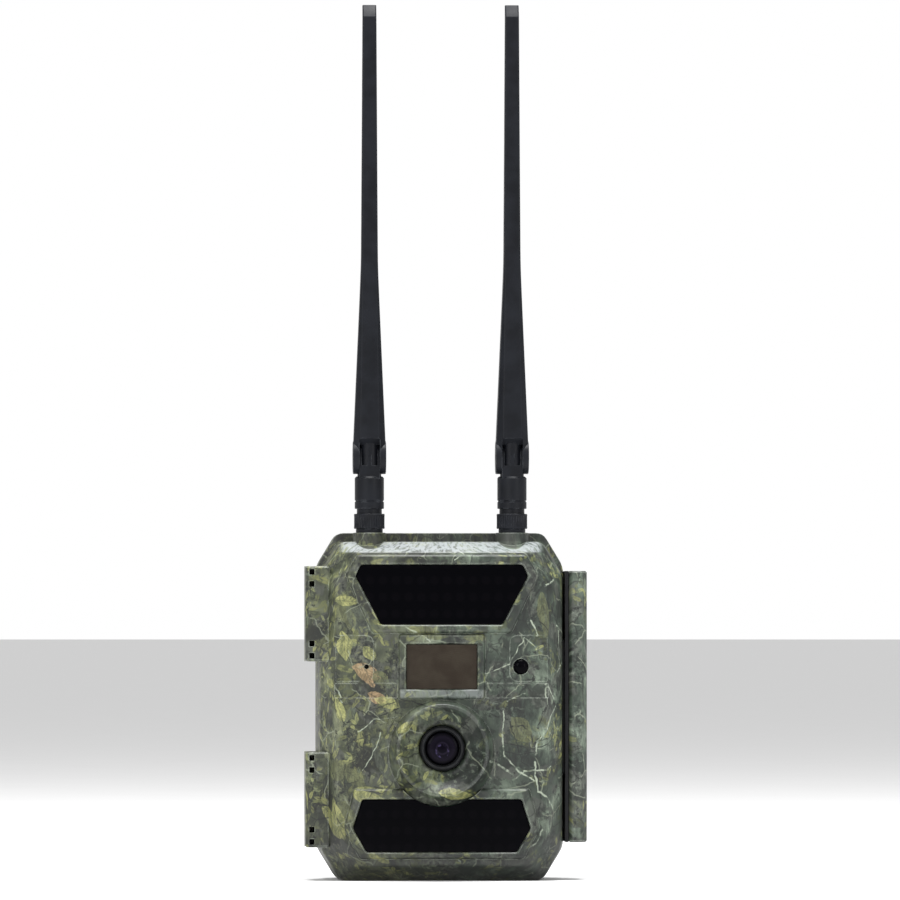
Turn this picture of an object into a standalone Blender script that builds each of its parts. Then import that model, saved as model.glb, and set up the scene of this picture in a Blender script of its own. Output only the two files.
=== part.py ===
"""Trail camera: a clamshell case on tree brackets, with a front housing that swings open and two antennas.

Lengths below are in millimetres and are turned into metres when a mesh is made. The camera looks along -Y,
+X is to its right as seen from the front, and it stands on z = 0. Driving dimensions come first.
"""

import math

import bmesh
import bpy
from mathutils import Matrix, Vector

MM = 0.001
GAP = 0.3  # between two pieces that touch
PLAY = 0.3  # radial play of a pin in its bore

# Case, shared by its two halves.
CASE_W = 104.0
CASE_H = 146.0
CORNER_W = 8.5
CORNER_H = 14.0
WALL = 2.5
PARTING_Y = 4.0
BACK_DRAFT = 3.0
BACK_WALL = 3.2
GASKET_IN = 1.3
GASKET_W = 0.9
GASKET_T = 0.9

# Front housing's stepped front.
RIM_Y = -3.0
RIM_DROP = 3.8
SHOULDER_Y = -17.0
SHOULDER_INSET = 1.2
PLATEAU_Y = -26.5
PLATEAU_INSET = 7.7
PLATEAU_TOP_DROP = 8.4
PLATEAU_RISE = 6.5
BEZEL_RAISE = 2.0
BEZEL_CHAMFER = 0.8
BELT_DEPTH = 0.8
BELT_RISE = 6.0

# Windows of the front, as half widths, with heights from the case's top or bottom.
UPPER_WINDOW_DROPS = (13.6, 18.2, 38.4)
UPPER_WINDOW_HALVES = (33.8, 36.0, 25.4)
UPPER_BEZEL_DROPS = (9.2, 17.7, 42.1)
UPPER_BEZEL_HALVES = (35.5, 40.5, 29.2)
LOWER_WINDOW_RISES = (34.1, 22.1, 12.3)
LOWER_WINDOW_HALVES = (33.3, 37.1, 31.4)
LOWER_BEZEL_RISES = (38.7, 22.3, 9.2)
LOWER_BEZEL_HALVES = (36.7, 41.1, 34.2)
WINDOW_T = 2.0
WINDOW_LEDGE = 1.8
WINDOW_SINK = 0.6
LED_R = 2.3
BOARD_T = 1.6

# Motion sensor window, light sensor and microphone hole, on one line.
PIR_Z = 89.8
PIR_W = 29.4
PIR_H = 18.5
PIR_FRAME_HALF = 18.2
PIR_FRAME_H = 27.2
PIR_T = 1.6
PIR_BULGE = 1.4
LIGHT_SENSOR_X = 33.2
LIGHT_SENSOR_R = 3.0
MIC_X = -31.5
MIC_R = 1.0

# Lens, its dish-shaped ring and what is behind it.
LENS_Z = 55.7
RING_BASE_Z = 53.4
RING_BASE_R = 22.0
RING_RIM_Z = 54.9
RING_RIM_R = 19.4
RING_WALL = 1.4
RING_FRONT_Y = -39.0
RING_SEAT = 0.2
RING_SIDES = 40
DISH_FLOOR_Y = -32.2
BARREL_R = 9.3
BARREL_FRONT_Y = -35.4
BARREL_BACK_Y = -19.8
GLASS_R = 6.9
APERTURE_R = 2.8
MAIN_BOARD_Y = -13.6

# Hinge on the left side.
LUG_PROUD = 5.0
LUG_END = 14.0
LUG_LENGTH = 40.0
LUG_FRONT_Y = -22.0
LUG_INNER = 5.0
HINGE_OFFSET = 2.3
KNUCKLE_R = 2.7
KNUCKLE_LENGTH = 11.0
PIN_R = 1.2
CORE_STEPS = (2.4, 7.5)
CORE_W = 2.2
CORE_H = 2.4
CORE_DEPTH = 14.0

# Latch on the right side.
LATCH_PROUD = 9.6
LATCH_END = 16.0
LATCH_FRONT_Y = -15.0
LATCH_BACK_Y = 13.0
LINER_T = 1.5
LATCH_PIVOT_INSET = 4.0
LATCH_PIVOT_Y = 18.0
LATCH_KNUCKLE_R = 3.7
LATCH_KNUCKLE_LENGTH = 58.0
EAR_LENGTH = 8.0
HOOK_Y = -10.7
HOOK_T = 1.8
HOOK_REACH = 2.0
HOOK_HALF = 28.0
HOOK_PLAY = 0.9

# Antennas.
ANTENNA_X = 30.0
BOSS_R = 6.95
BOSS_Y = -13.4
BOSS_DEPTH = 14.0
THREAD_R = 3.1
FLANGE_R = 5.65
FLANGE_T = 1.1
NUT_R = 6.45
NUT_H = 6.3
NECK_R = 5.1
NECK_H = 1.8
SWIVEL_R = 6.15
SWIVEL_H = 13.6
FORK_DROP = 8.0
FORK_R = 7.0
FORK_W = 13.9
TONGUE_W = 8.1
TONGUE_HALF_DEPTH = 5.0
SLOT_PLAY = 0.4  # round the tongue's end
SHELF_H = 4.6
STEM_R = 2.3
BLADE_H = 190.5
TIP_H = 5.2
TIP_HALF_W = 2.9
TIP_HALF_D = 3.4
TIP_PANEL_HALF = 2.5
# Height above the fork's pin, half width, half depth and half the front panel's width.
BLADE_SECTIONS = (
    (0.0, FORK_W / 2, FORK_R, 3.95),
    (19.0, 6.15, 6.6, 3.9),
    (50.0, 4.8, 5.6, 3.4),
    (81.0, 3.5, 4.6, 3.0),
)

# Battery compartment.
CELL_R = 7.1
CELL_LENGTH = 50.5
CELL_RIB = 1.0  # between two pockets
CELLS_PER_BANK = 4
CELL_NUB_R = 2.6
CELL_NUB_H = 1.2
POCKET_PLAY = 0.4
SPRING_SPACE = 4.0
TRAY_WALL = 1.6
CONTACT_T = 0.8

# Inner panel with its controls and cards.
PANEL_T = 2.0
PANEL_Y = 3.4
PANEL_TO_TRAY = 6.5  # room for the cards in their holders
SCREEN_W = 43.4
SCREEN_H = 33.4
SCREEN_DROP = 34.0
KEY_R = 3.5
KEY_SPREAD = 10.0
KEY_Z = 80.0
KEY_PROUD = 0.9
SWITCH_W = 4.0
SWITCH_TRAVEL = 7.0
SWITCH_Z = 62.0
SD_L = 32.0
SD_W = 24.0
SD_T = 2.1
SD_Z = 36.0
SIM_L = 15.0
SIM_W = 12.0
SIM_T = 0.9
SIM_Z = 13.5
CARD_X = 2.0
CARD_PROUD = 4.0
SCREW_X = 40.0
SCREW_END = 18.0
SCREW_R = 1.5
SCREW_LENGTH = 12.0

# Tree brackets, tripod insert and sockets in the base.
BRACKET_W = 88.0
BRACKET_H = 34.0
BRACKET_END = 16.0
BRACKET_BASE_T = 1.5
BRACKET_DEPTH = 8.7
STRAP_BAR_X = 38.0
STRAP_BAR_W = 5.0
STRAP_BAR_T = 2.0
STRAP_POST_H = 4.0
GRIP_HALF = 14.0
GRIP_TEETH = 4
INSERT_R = 4.0
INSERT_BORE_R = 3.0
INSERT_H = 8.0
SOCKET_Y = 17.0
DC_X = 28.0
DC_R = 4.0
PORT_X = 12.5
PORT_W = 11.2
PORT_D = 7.2
PORT_Y = -12.0
PORT_COVER_T = 1.9

# Places worked out from the dimensions above.
HALF_W = CASE_W / 2
BODY_X = (LUG_PROUD - LATCH_PROUD) / 2
HINGE_X = -HALF_W - HINGE_OFFSET
LATCH_PIVOT_X = HALF_W + LATCH_PROUD - LATCH_PIVOT_INSET
FRONT_BACK_Y = PARTING_Y - GAP / 2
BACK_FRONT_Y = PARTING_Y + GAP / 2
BEZEL_Y = PLATEAU_Y - BEZEL_RAISE
FORK_Z = CASE_H + GAP + FLANGE_T + GAP + NUT_H + GAP + NECK_H + SWIVEL_H + FORK_DROP
LUG_STARTS = (LUG_END, CASE_H - LUG_END - LUG_LENGTH)
CELL_PITCH = 2 * (CELL_R + POCKET_PLAY) + CELL_RIB
TRAY_DEPTH = 2 * (CELL_R + POCKET_PLAY) + TRAY_WALL
TRAY_BACK_Y = PANEL_Y + PANEL_TO_TRAY + TRAY_DEPTH
BACK_Y = TRAY_BACK_Y + GAP + BACK_WALL
WINDOW_SEAT_Y = BEZEL_Y + WINDOW_SINK + WINDOW_T + GAP
LED_BOARD_Y = PLATEAU_Y + WALL + 1.0
ANTENNAS = (("left", -ANTENNA_X), ("right", ANTENNA_X))

COLOURS = {
    "camo_case": ((0.20, 0.21, 0.14), 0.55, 0.0),
    "camo_front": ((0.22, 0.23, 0.16), 0.5, 0.0),
    "black_plastic": ((0.02, 0.021, 0.024), 0.45, 0.0),
    "antenna_black": ((0.018, 0.02, 0.024), 0.4, 0.0),
    "dark_window": ((0.006, 0.006, 0.009), 0.08, 0.0),
    "pir_film": ((0.05, 0.04, 0.03), 0.35, 0.0),
    "lens_glass": ((0.02, 0.015, 0.03), 0.03, 0.0),
    "steel": ((0.6, 0.6, 0.6), 0.3, 1.0),
    "brass": ((0.7, 0.5, 0.2), 0.3, 1.0),
    "circuit_board": ((0.02, 0.12, 0.05), 0.45, 0.0),
    "cell_wrap": ((0.08, 0.08, 0.09), 0.3, 0.6),
    "screen": ((0.03, 0.035, 0.04), 0.1, 0.0),
    "rubber": ((0.03, 0.03, 0.03), 0.8, 0.0),
    "grey_key": ((0.25, 0.26, 0.27), 0.6, 0.0),
    "card": ((0.03, 0.05, 0.12), 0.4, 0.0),
}


# ---------------------------------------------------------------- scene and objects


def clear_scene():
    for obj in list(bpy.data.objects):
        bpy.data.objects.remove(obj, do_unlink=True)


def collection(name):
    made = bpy.data.collections.new(name)
    bpy.context.scene.collection.children.link(made)
    return made


def material(slot):
    found = bpy.data.materials.get(slot)
    if found:
        return found
    made = bpy.data.materials.new(slot)
    made.use_nodes = True
    shader = made.node_tree.nodes["Principled BSDF"]
    colour, roughness, metallic = COLOURS[slot]
    shader.inputs["Base Color"].default_value = (*colour, 1.0)
    shader.inputs["Roughness"].default_value = roughness
    shader.inputs["Metallic"].default_value = metallic
    return made


clear_scene()
PARTS = collection("trail_camera")
CUTTERS = collection("cutters")
BODIES = {}


def add_body(name, pivot=(0.0, 0.0, 0.0), parent=None):
    """An empty on the body's joint axis. Its pieces are parented to it."""
    empty = bpy.data.objects.new(name + "_pivot", None)
    PARTS.objects.link(empty)
    pivot = Vector(pivot)
    if parent:
        held_by, held_pivot = BODIES[parent]
        empty.parent = held_by
        empty.location = (pivot - held_pivot) * MM
    else:
        empty.location = Vector((BODY_X, 0, 0)) * MM + pivot * MM
    BODIES[name] = (empty, pivot)


def put(obj, body, at):
    empty, pivot = BODIES[body]
    obj.parent = empty
    obj.location = (Vector(at) - pivot) * MM


def mesh_from(bm, name, at):
    """Turns a bmesh in millimetres into a mesh in metres whose origin is at the given point."""
    bmesh.ops.recalc_face_normals(bm, faces=bm.faces)
    bm.transform(Matrix.Scale(MM, 4) @ Matrix.Translation(-Vector(at)))
    mesh = bpy.data.meshes.new(name)
    bm.to_mesh(mesh)
    bm.free()
    return mesh


def piece(name, body, slot, bm):
    at = BODIES[body][1]
    obj = bpy.data.objects.new(name, mesh_from(bm, name, at))
    PARTS.objects.link(obj)
    obj.data.materials.append(material(slot))
    put(obj, body, at)
    return obj


def helper(name, bm):
    at = (0.0, 0.0, 0.0)
    obj = bpy.data.objects.new(name, mesh_from(bm, name, at))
    CUTTERS.objects.link(obj)
    obj.hide_render = True
    obj.display_type = "WIRE"
    put(obj, "back_case", at)
    return obj


def boolean(obj, bm, label, operation):
    modifier = obj.modifiers.new(label, "BOOLEAN")
    modifier.operation = operation
    modifier.object = helper(f"{obj.name}_{label}", bm)


def cut(obj, bm, label):
    boolean(obj, bm, label, "DIFFERENCE")


def fuse(obj, bm, label):
    boolean(obj, bm, label, "UNION")


# ---------------------------------------------------------------- shapes, in millimetres


def block(x0, x1, y0, y1, z0, z1):
    bm = bmesh.new()
    bmesh.ops.create_cube(bm, size=1.0)
    size = Matrix.Diagonal((x1 - x0, y1 - y0, z1 - z0, 1.0))
    bm.transform(Matrix.Translation(((x0 + x1) / 2, (y0 + y1) / 2, (z0 + z1) / 2)) @ size)
    return bm


TURN = {
    "X": Matrix.Rotation(math.radians(90), 4, "Y"),
    "Y": Matrix.Rotation(math.radians(-90), 4, "X"),
    "Z": Matrix.Identity(4),
}


def rod(axis, middle, radius, length, sides=24, radius_end=None):
    """A cylinder or cone along an axis; radius_end is at the axis's positive end."""
    bm = bmesh.new()
    bmesh.ops.create_cone(
        bm,
        cap_ends=True,
        segments=sides,
        radius1=radius,
        radius2=radius if radius_end is None else radius_end,
        depth=length,
    )
    bm.transform(Matrix.Translation(middle) @ TURN[axis])
    return bm


def prism(outline, axis, start, end):
    """A flat outline, of the two other coordinates in alphabetical order, pushed along an axis."""
    order = {"X": (2, 0, 1), "Y": (0, 2, 1), "Z": (0, 1, 2)}[axis]
    bm = bmesh.new()
    corners = [bm.verts.new([(a, b, start)[i] for i in order]) for a, b in outline]
    face = bm.faces.new(corners)
    pushed = bmesh.ops.extrude_face_region(bm, geom=[face])["geom"]
    along = Vector([float(name == axis) for name in "XYZ"]) * (end - start)
    moved = [item for item in pushed if isinstance(item, bmesh.types.BMVert)]
    bmesh.ops.translate(bm, verts=moved, vec=along)
    return bm


def loft(sections, closed=False):
    """Skins rings that have the same number of points. A closed loft joins its last ring to its first."""
    bm = bmesh.new()
    rings = [[bm.verts.new(point) for point in section] for section in sections]
    pairs = list(zip(rings, rings[1:]))
    if closed:
        pairs.append((rings[-1], rings[0]))
    for lower, upper in pairs:
        for i in range(len(lower)):
            j = (i + 1) % len(lower)
            bm.faces.new((lower[i], lower[j], upper[j], upper[i]))
    if not closed:
        bm.faces.new(rings[0][::-1])
        bm.faces.new(rings[-1])
    return bm


def together(*shapes):
    """Several shapes that don't touch, in one bmesh."""
    bm = bmesh.new()
    for shape in shapes:
        mesh = bpy.data.meshes.new("shape")
        shape.to_mesh(mesh)
        shape.free()
        bm.from_mesh(mesh)
        bpy.data.meshes.remove(mesh)
    return bm


def turned(name, body, slot, profile, at, axis="Z", sides=24):
    """A profile of (radius, height) points, from top to bottom, spun by a Screw modifier.

    A profile that starts and ends off the axis is closed into a loop, which makes a ring.
    """
    bm = bmesh.new()
    points = [bm.verts.new((radius * MM, 0.0, height * MM)) for radius, height in profile]
    for upper, lower in zip(points, points[1:]):
        bm.edges.new((upper, lower))
    if profile[0][0] > 0 and profile[-1][0] > 0:
        bm.edges.new((points[-1], points[0]))
    mesh = bpy.data.meshes.new(name)
    bm.to_mesh(mesh)
    bm.free()
    obj = bpy.data.objects.new(name, mesh)
    PARTS.objects.link(obj)
    obj.data.materials.append(material(slot))
    obj.rotation_euler = TURN[axis].to_euler()
    put(obj, body, at)
    screw = obj.modifiers.new("turn", "SCREW")
    screw.axis = "Z"
    screw.steps = sides
    screw.render_steps = sides
    screw.use_merge_vertices = True
    screw.merge_threshold = 0.000001
    screw.use_normal_calculate = False
    return obj


def octagon(half_w, low, high, corner_w=CORNER_W, corner_h=CORNER_H):
    right = [
        (half_w - corner_w, low),
        (half_w, low + corner_h),
        (half_w, high - corner_h),
        (half_w - corner_w, high),
    ]
    return right + [(-x, z) for x, z in reversed(right)]


def inset(outline, distance):
    """A convex outline moved inwards by a distance, side by side."""
    middle = sum((Vector(point) for point in outline), Vector((0, 0))) / len(outline)
    lines = []
    for i, point in enumerate(outline):
        start, end = Vector(point), Vector(outline[(i + 1) % len(outline)])
        along = (end - start).normalized()
        normal = Vector((-along.y, along.x))
        if normal.dot(middle - start) < 0:
            normal = -normal
        lines.append((start + normal * distance, along))
    moved = []
    for i in range(len(lines)):
        (p, d), (q, e) = lines[i - 1], lines[i]
        cross = d.x * e.y - d.y * e.x
        t = ((q - p).x * e.y - (q - p).y * e.x) / cross
        moved.append(tuple(p + d * t))
    return moved


def at_y(outline, y):
    return [(x, y, z) for x, z in outline]


def six_sided(heights, halves):
    right = [(half, height) for half, height in zip(halves, heights)]
    return right + [(-x, z) for x, z in reversed(right)]


def upper_outline(drops, halves):
    return six_sided([CASE_H - drop for drop in drops], halves)


def arc(middle, radius, start, end, steps):
    """Points on an arc between two angles in degrees."""
    points = []
    for i in range(steps + 1):
        angle = math.radians(start + (end - start) * i / steps)
        points.append((middle[0] + radius * math.cos(angle), middle[1] + radius * math.sin(angle)))
    return points


CASE_OUTLINE = octagon(HALF_W, 0.0, CASE_H)
UPPER_WINDOW = upper_outline(UPPER_WINDOW_DROPS, UPPER_WINDOW_HALVES)
UPPER_BEZEL = upper_outline(UPPER_BEZEL_DROPS, UPPER_BEZEL_HALVES)
LOWER_WINDOW = six_sided(LOWER_WINDOW_RISES, LOWER_WINDOW_HALVES)
LOWER_BEZEL = six_sided(LOWER_BEZEL_RISES, LOWER_BEZEL_HALVES)


# ---------------------------------------------------------------- back case and what it carries


def lug_ends(start):
    """Both end knuckles of a lug, as (low, high)."""
    return (start, start + KNUCKLE_LENGTH), (start + LUG_LENGTH - KNUCKLE_LENGTH, start + LUG_LENGTH)


def hinge_rod(radius, low, high, sides=16):
    return rod("Z", (HINGE_X, PARTING_Y, (low + high) / 2), radius, high - low, sides)


def latch_rod(radius, low, high, sides=16):
    return rod("Z", (LATCH_PIVOT_X, LATCH_PIVOT_Y, (low + high) / 2), radius, high - low, sides)


def ear_spans():
    inner = LATCH_KNUCKLE_LENGTH / 2 + GAP
    middle = CASE_H / 2
    return (middle - inner - EAR_LENGTH, middle - inner), (middle + inner, middle + inner + EAR_LENGTH)


def make_back_case():
    turn_y = BACK_Y - 8.0
    outer = loft([
        at_y(CASE_OUTLINE, BACK_FRONT_Y),
        at_y(CASE_OUTLINE, turn_y),
        at_y(inset(CASE_OUTLINE, BACK_DRAFT), BACK_Y),
    ])
    case = piece("back_case", "back_case", "camo_case", outer)
    rim = inset(CASE_OUTLINE, BACK_WALL)
    cut(case, loft([
        at_y(rim, BACK_FRONT_Y - 1.0),
        at_y(rim, turn_y),
        at_y(inset(CASE_OUTLINE, BACK_DRAFT + BACK_WALL), BACK_Y - BACK_WALL),
    ]), "hollow")
    cut(case, gasket_ring(GASKET_T + GAP, 1.0, GAP), "gasket_groove")
    for i, start in enumerate(LUG_STARTS):
        low, high = start + KNUCKLE_LENGTH + GAP, start + LUG_LENGTH - KNUCKLE_LENGTH - GAP
        relief = hinge_rod(KNUCKLE_R + PLAY, start - GAP, start + LUG_LENGTH + GAP)
        cut(case, relief, f"lug_relief_{i + 1}")
        web_back = PARTING_Y + KNUCKLE_R * 0.7
        web = block(HINGE_X, -HALF_W + 1.0, BACK_FRONT_Y + 0.2, web_back, low + 0.5, high - 0.5)
        fuse(case, web, f"web_{i + 1}")
        fuse(case, hinge_rod(KNUCKLE_R, low, high), f"knuckle_{i + 1}")
        cut(case, hinge_rod(PIN_R + PLAY, low - 1.0, high + 1.0, 12), f"pin_bore_{i + 1}")
    for i, (low, high) in enumerate(ear_spans()):
        root_x = HALF_W - 1.0
        root = [(root_x, LATCH_PIVOT_Y + LATCH_KNUCKLE_R), (root_x, LATCH_PIVOT_Y - LATCH_KNUCKLE_R)]
        nose = arc((LATCH_PIVOT_X, LATCH_PIVOT_Y), LATCH_KNUCKLE_R, -90, 90, 8)
        fuse(case, prism(root + nose, "Z", low, high), f"ear_{i + 1}")
        cut(case, latch_rod(PIN_R + PLAY, low - 1.0, high + 1.0, 12), f"ear_bore_{i + 1}")
    boss_top = INSERT_H + 2 * GAP
    boss = rod("Z", (0, SOCKET_Y, boss_top / 2 + 0.5), INSERT_R + 2.5, boss_top - 1.0)
    fuse(case, boss, "insert_boss")
    cut(case, rod("Z", (0, SOCKET_Y, 0), INSERT_R + GAP, 4 * INSERT_H), "insert_bore")
    cut(case, rod("Z", (DC_X, SOCKET_Y, 0), DC_R + GAP, 3 * BACK_WALL), "jack_bore")


def gasket_ring(depth, wider_front, wider):
    """The gasket's own shape, or its groove when it is made wider."""
    front, back = BACK_FRONT_Y - wider_front, BACK_FRONT_Y + depth
    outer, inner = inset(CASE_OUTLINE, GASKET_IN - wider), inset(CASE_OUTLINE, GASKET_IN + GASKET_W + wider)
    return loft([at_y(outer, front), at_y(outer, back), at_y(inner, back), at_y(inner, front)], closed=True)


def make_gasket():
    piece("case_gasket", "back_case", "rubber", gasket_ring(GASKET_T, -0.1, 0.0))


def make_pins():
    for name, start in zip(("lower", "upper"), LUG_STARTS):
        pin = hinge_rod(PIN_R, start + GAP, start + LUG_LENGTH - GAP, 12)
        piece(f"hinge_pin_{name}", "back_case", "steel", pin)
    (low, _), (_, high) = ear_spans()
    piece("latch_pin", "back_case", "steel", latch_rod(PIN_R, low + GAP, high - GAP, 12))


def make_tree_bracket(name, low):
    high = low + BRACKET_H
    base_y = BACK_Y + GAP
    base_top = base_y + BRACKET_BASE_T
    back = base_y + BRACKET_DEPTH
    base = block(-BRACKET_W / 2, BRACKET_W / 2, base_y, base_top, low, high)
    bracket = piece(name, "back_case", "black_plastic", base)
    sunk = base_top - 0.8
    bar_front = back - STRAP_BAR_T
    bar = [
        (sunk, low), (back, low), (back, high), (sunk, high),
        (sunk, high - STRAP_POST_H), (bar_front, high - STRAP_POST_H),
        (bar_front, low + STRAP_POST_H), (sunk, low + STRAP_POST_H),
    ]
    for side, x in (("left", -STRAP_BAR_X), ("right", STRAP_BAR_X)):
        start, end = x - STRAP_BAR_W / 2, x + STRAP_BAR_W / 2
        fuse(bracket, prism(bar, "X", start, end), f"{side}_strap_bar")
    pitch = BRACKET_H / GRIP_TEETH
    teeth = [(sunk, low + 1.0), (sunk, high - 1.0)]
    for i in reversed(range(GRIP_TEETH)):
        tooth = low + i * pitch
        teeth += [(back - 3.0, tooth + pitch - 1.0), (back, tooth + pitch / 2), (back - 3.0, tooth + 1.0)]
    fuse(bracket, prism(teeth, "X", -GRIP_HALF, GRIP_HALF), "grip")


def bank_spans():
    """Each bank's pocket, as (low, high), with the lower bank first."""
    pocket = CELL_LENGTH + SPRING_SPACE + GAP
    middle = CASE_H / 2
    half_wall = TRAY_WALL / 2
    lower_top, upper_low = middle - half_wall, middle + half_wall
    return (lower_top - pocket, lower_top), (upper_low, upper_low + pocket)


def cell_places():
    return [(i - (CELLS_PER_BANK - 1) / 2) * CELL_PITCH for i in range(CELLS_PER_BANK)]


def make_battery_tray():
    (low, lower_top), (upper_low, high) = bank_spans()
    half = CELLS_PER_BANK * CELL_PITCH / 2 + TRAY_WALL
    front = TRAY_BACK_Y - TRAY_DEPTH
    outer = block(-half, half, front, TRAY_BACK_Y, low - TRAY_WALL, high + TRAY_WALL)
    tray = piece("battery_tray", "back_case", "black_plastic", outer)
    floor = TRAY_BACK_Y - TRAY_WALL
    wide = CELL_R + POCKET_PLAY
    for name, start, end in (("lower", low, lower_top), ("upper", upper_low, high)):
        pockets = [block(x - wide, x + wide, front - 1.0, floor, start, end) for x in cell_places()]
        cut(tray, together(*pockets), f"{name}_pockets")
    spring_half = half - TRAY_WALL
    for name, start in (("lower", low), ("upper", high - SPRING_SPACE)):
        space = block(-spring_half, spring_half, front - 1.0, floor, start, start + SPRING_SPACE)
        cut(tray, space, f"{name}_spring_space")


def make_cells():
    half = CELL_LENGTH / 2
    shoulder = half - CELL_NUB_H
    profile = [
        (0, half), (CELL_NUB_R, half), (CELL_NUB_R, shoulder), (CELL_R - 0.5, shoulder),
        (CELL_R, shoulder - 0.5), (CELL_R, 0.5 - half), (CELL_R - 0.5, -half), (0, -half),
    ]
    flipped = [(radius, -height) for radius, height in reversed(profile)]
    (low, lower_top), (upper_low, high) = bank_spans()
    y = TRAY_BACK_Y - TRAY_WALL - POCKET_PLAY - CELL_R
    lower_z, upper_z = lower_top - GAP - half, upper_low + GAP + half
    for i, x in enumerate(cell_places()):
        turned(f"lower_cell_{i + 1}", "back_case", "cell_wrap", profile, (x, y, lower_z), sides=16)
        turned(f"upper_cell_{i + 1}", "back_case", "cell_wrap", flipped, (x, y, upper_z), sides=16)


def make_contact_plate(name, wall_z, towards):
    """A plate with one spring for each cell; towards is +1 when the cells are above it."""
    half = CELLS_PER_BANK * CELL_PITCH / 2 - GAP
    front, back = TRAY_BACK_Y - TRAY_DEPTH + 1.0, TRAY_BACK_Y - TRAY_WALL - GAP
    near, far = sorted((wall_z + towards * GAP, wall_z + towards * (GAP + CONTACT_T)))
    plate = piece(name, "back_case", "steel", block(-half, half, front, back, near, far))
    spring = SPRING_SPACE - 2 * GAP - CONTACT_T
    y = TRAY_BACK_Y - TRAY_WALL - POCKET_PLAY - CELL_R
    z = wall_z + towards * (GAP + CONTACT_T + spring / 2 - 0.1)
    wide, narrow = (3.2, 2.0) if towards > 0 else (2.0, 3.2)
    springs = [rod("Z", (x, y, z), wide, spring + 0.2, 10, narrow) for x in cell_places()]
    fuse(plate, together(*springs), "springs")


def make_sockets():
    ring = [
        (INSERT_R, INSERT_H + GAP), (INSERT_R, GAP),
        (INSERT_BORE_R, GAP), (INSERT_BORE_R, INSERT_H + GAP),
    ]
    turned("tripod_insert", "back_case", "brass", ring, (0, SOCKET_Y, 0))
    jack = [
        (0, 9.5), (DC_R, 9.5), (DC_R, GAP), (DC_R - 0.9, GAP), (DC_R - 0.9, 7.5),
        (1.0, 7.5), (1.0, 1.5), (0, 1.5),
    ]
    turned("power_jack", "back_case", "black_plastic", jack, (DC_X, SOCKET_Y, 0), sides=16)


# ---------------------------------------------------------------- latch


def make_latch():
    low, high = LATCH_END, CASE_H - LATCH_END
    middle = CASE_H / 2
    inner, outer = HALF_W + GAP + LINER_T + GAP, HALF_W + LATCH_PROUD
    bar = [
        (inner, LATCH_FRONT_Y + 1.4), (inner + 1.4, LATCH_FRONT_Y), (outer - 2.0, LATCH_FRONT_Y),
        (outer, LATCH_FRONT_Y + 2.6), (outer, LATCH_BACK_Y - 1.5), (outer - 1.5, LATCH_BACK_Y),
        (inner, LATCH_BACK_Y),
    ]
    cover = piece("latch_cover", "latch", "camo_case", prism(bar, "Z", low, high))
    half = LATCH_KNUCKLE_LENGTH / 2
    start, end = LATCH_PIVOT_X - 3.0, LATCH_PIVOT_X + 3.0
    web = block(start, end, LATCH_BACK_Y - 1.0, LATCH_PIVOT_Y, middle - half, middle + half)
    fuse(cover, web, "web")
    fuse(cover, latch_rod(LATCH_KNUCKLE_R, middle - half, middle + half), "knuckle")
    cut(cover, latch_rod(PIN_R + PLAY, middle - half - 1.0, middle + half + 1.0, 12), "pin_bore")

    inside = HALF_W + GAP
    strip = block(inside, inside + LINER_T, LATCH_FRONT_Y + 1.0, LATCH_BACK_Y - 5.0, low, high)
    liner = piece("latch_hook", "latch", "black_plastic", strip)
    hook = block(
        HALF_W - HOOK_REACH, inside + 0.5, HOOK_Y - HOOK_T / 2, HOOK_Y + HOOK_T / 2,
        middle - HOOK_HALF, middle + HOOK_HALF,
    )
    fuse(liner, hook, "hook")


# ---------------------------------------------------------------- front housing


def cavity_outline():
    return octagon(HALF_W - WALL, WALL, CASE_H - RIM_DROP - WALL)


def raised(outline):
    """A frame's solid, standing on the plateau with a chamfered front."""
    return loft([
        at_y(inset(outline, BEZEL_CHAMFER), BEZEL_Y),
        at_y(outline, PLATEAU_Y - BEZEL_RAISE / 2),
        at_y(outline, PLATEAU_Y + 1.0),
    ])


def open_window(shell, outline, label):
    """A recess that the window sits in with a clearance, and a smaller opening behind its ledge."""
    cut(shell, prism(inset(outline, -GAP), "Y", BEZEL_Y - 1.0, WINDOW_SEAT_Y), f"{label}_recess")
    behind = prism(inset(outline, WINDOW_LEDGE), "Y", WINDOW_SEAT_Y - 0.5, PLATEAU_Y + WALL + 1.0)
    cut(shell, behind, f"{label}_opening")


def pir_rectangle(half_w, half_h):
    low, high = PIR_Z - half_h, PIR_Z + half_h
    return [(-half_w, low), (half_w, low), (half_w, high), (-half_w, high)]


def screw_places():
    return [(x, z) for x in (-SCREW_X, SCREW_X) for z in (SCREW_END, CASE_H - SCREW_END)]


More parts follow.
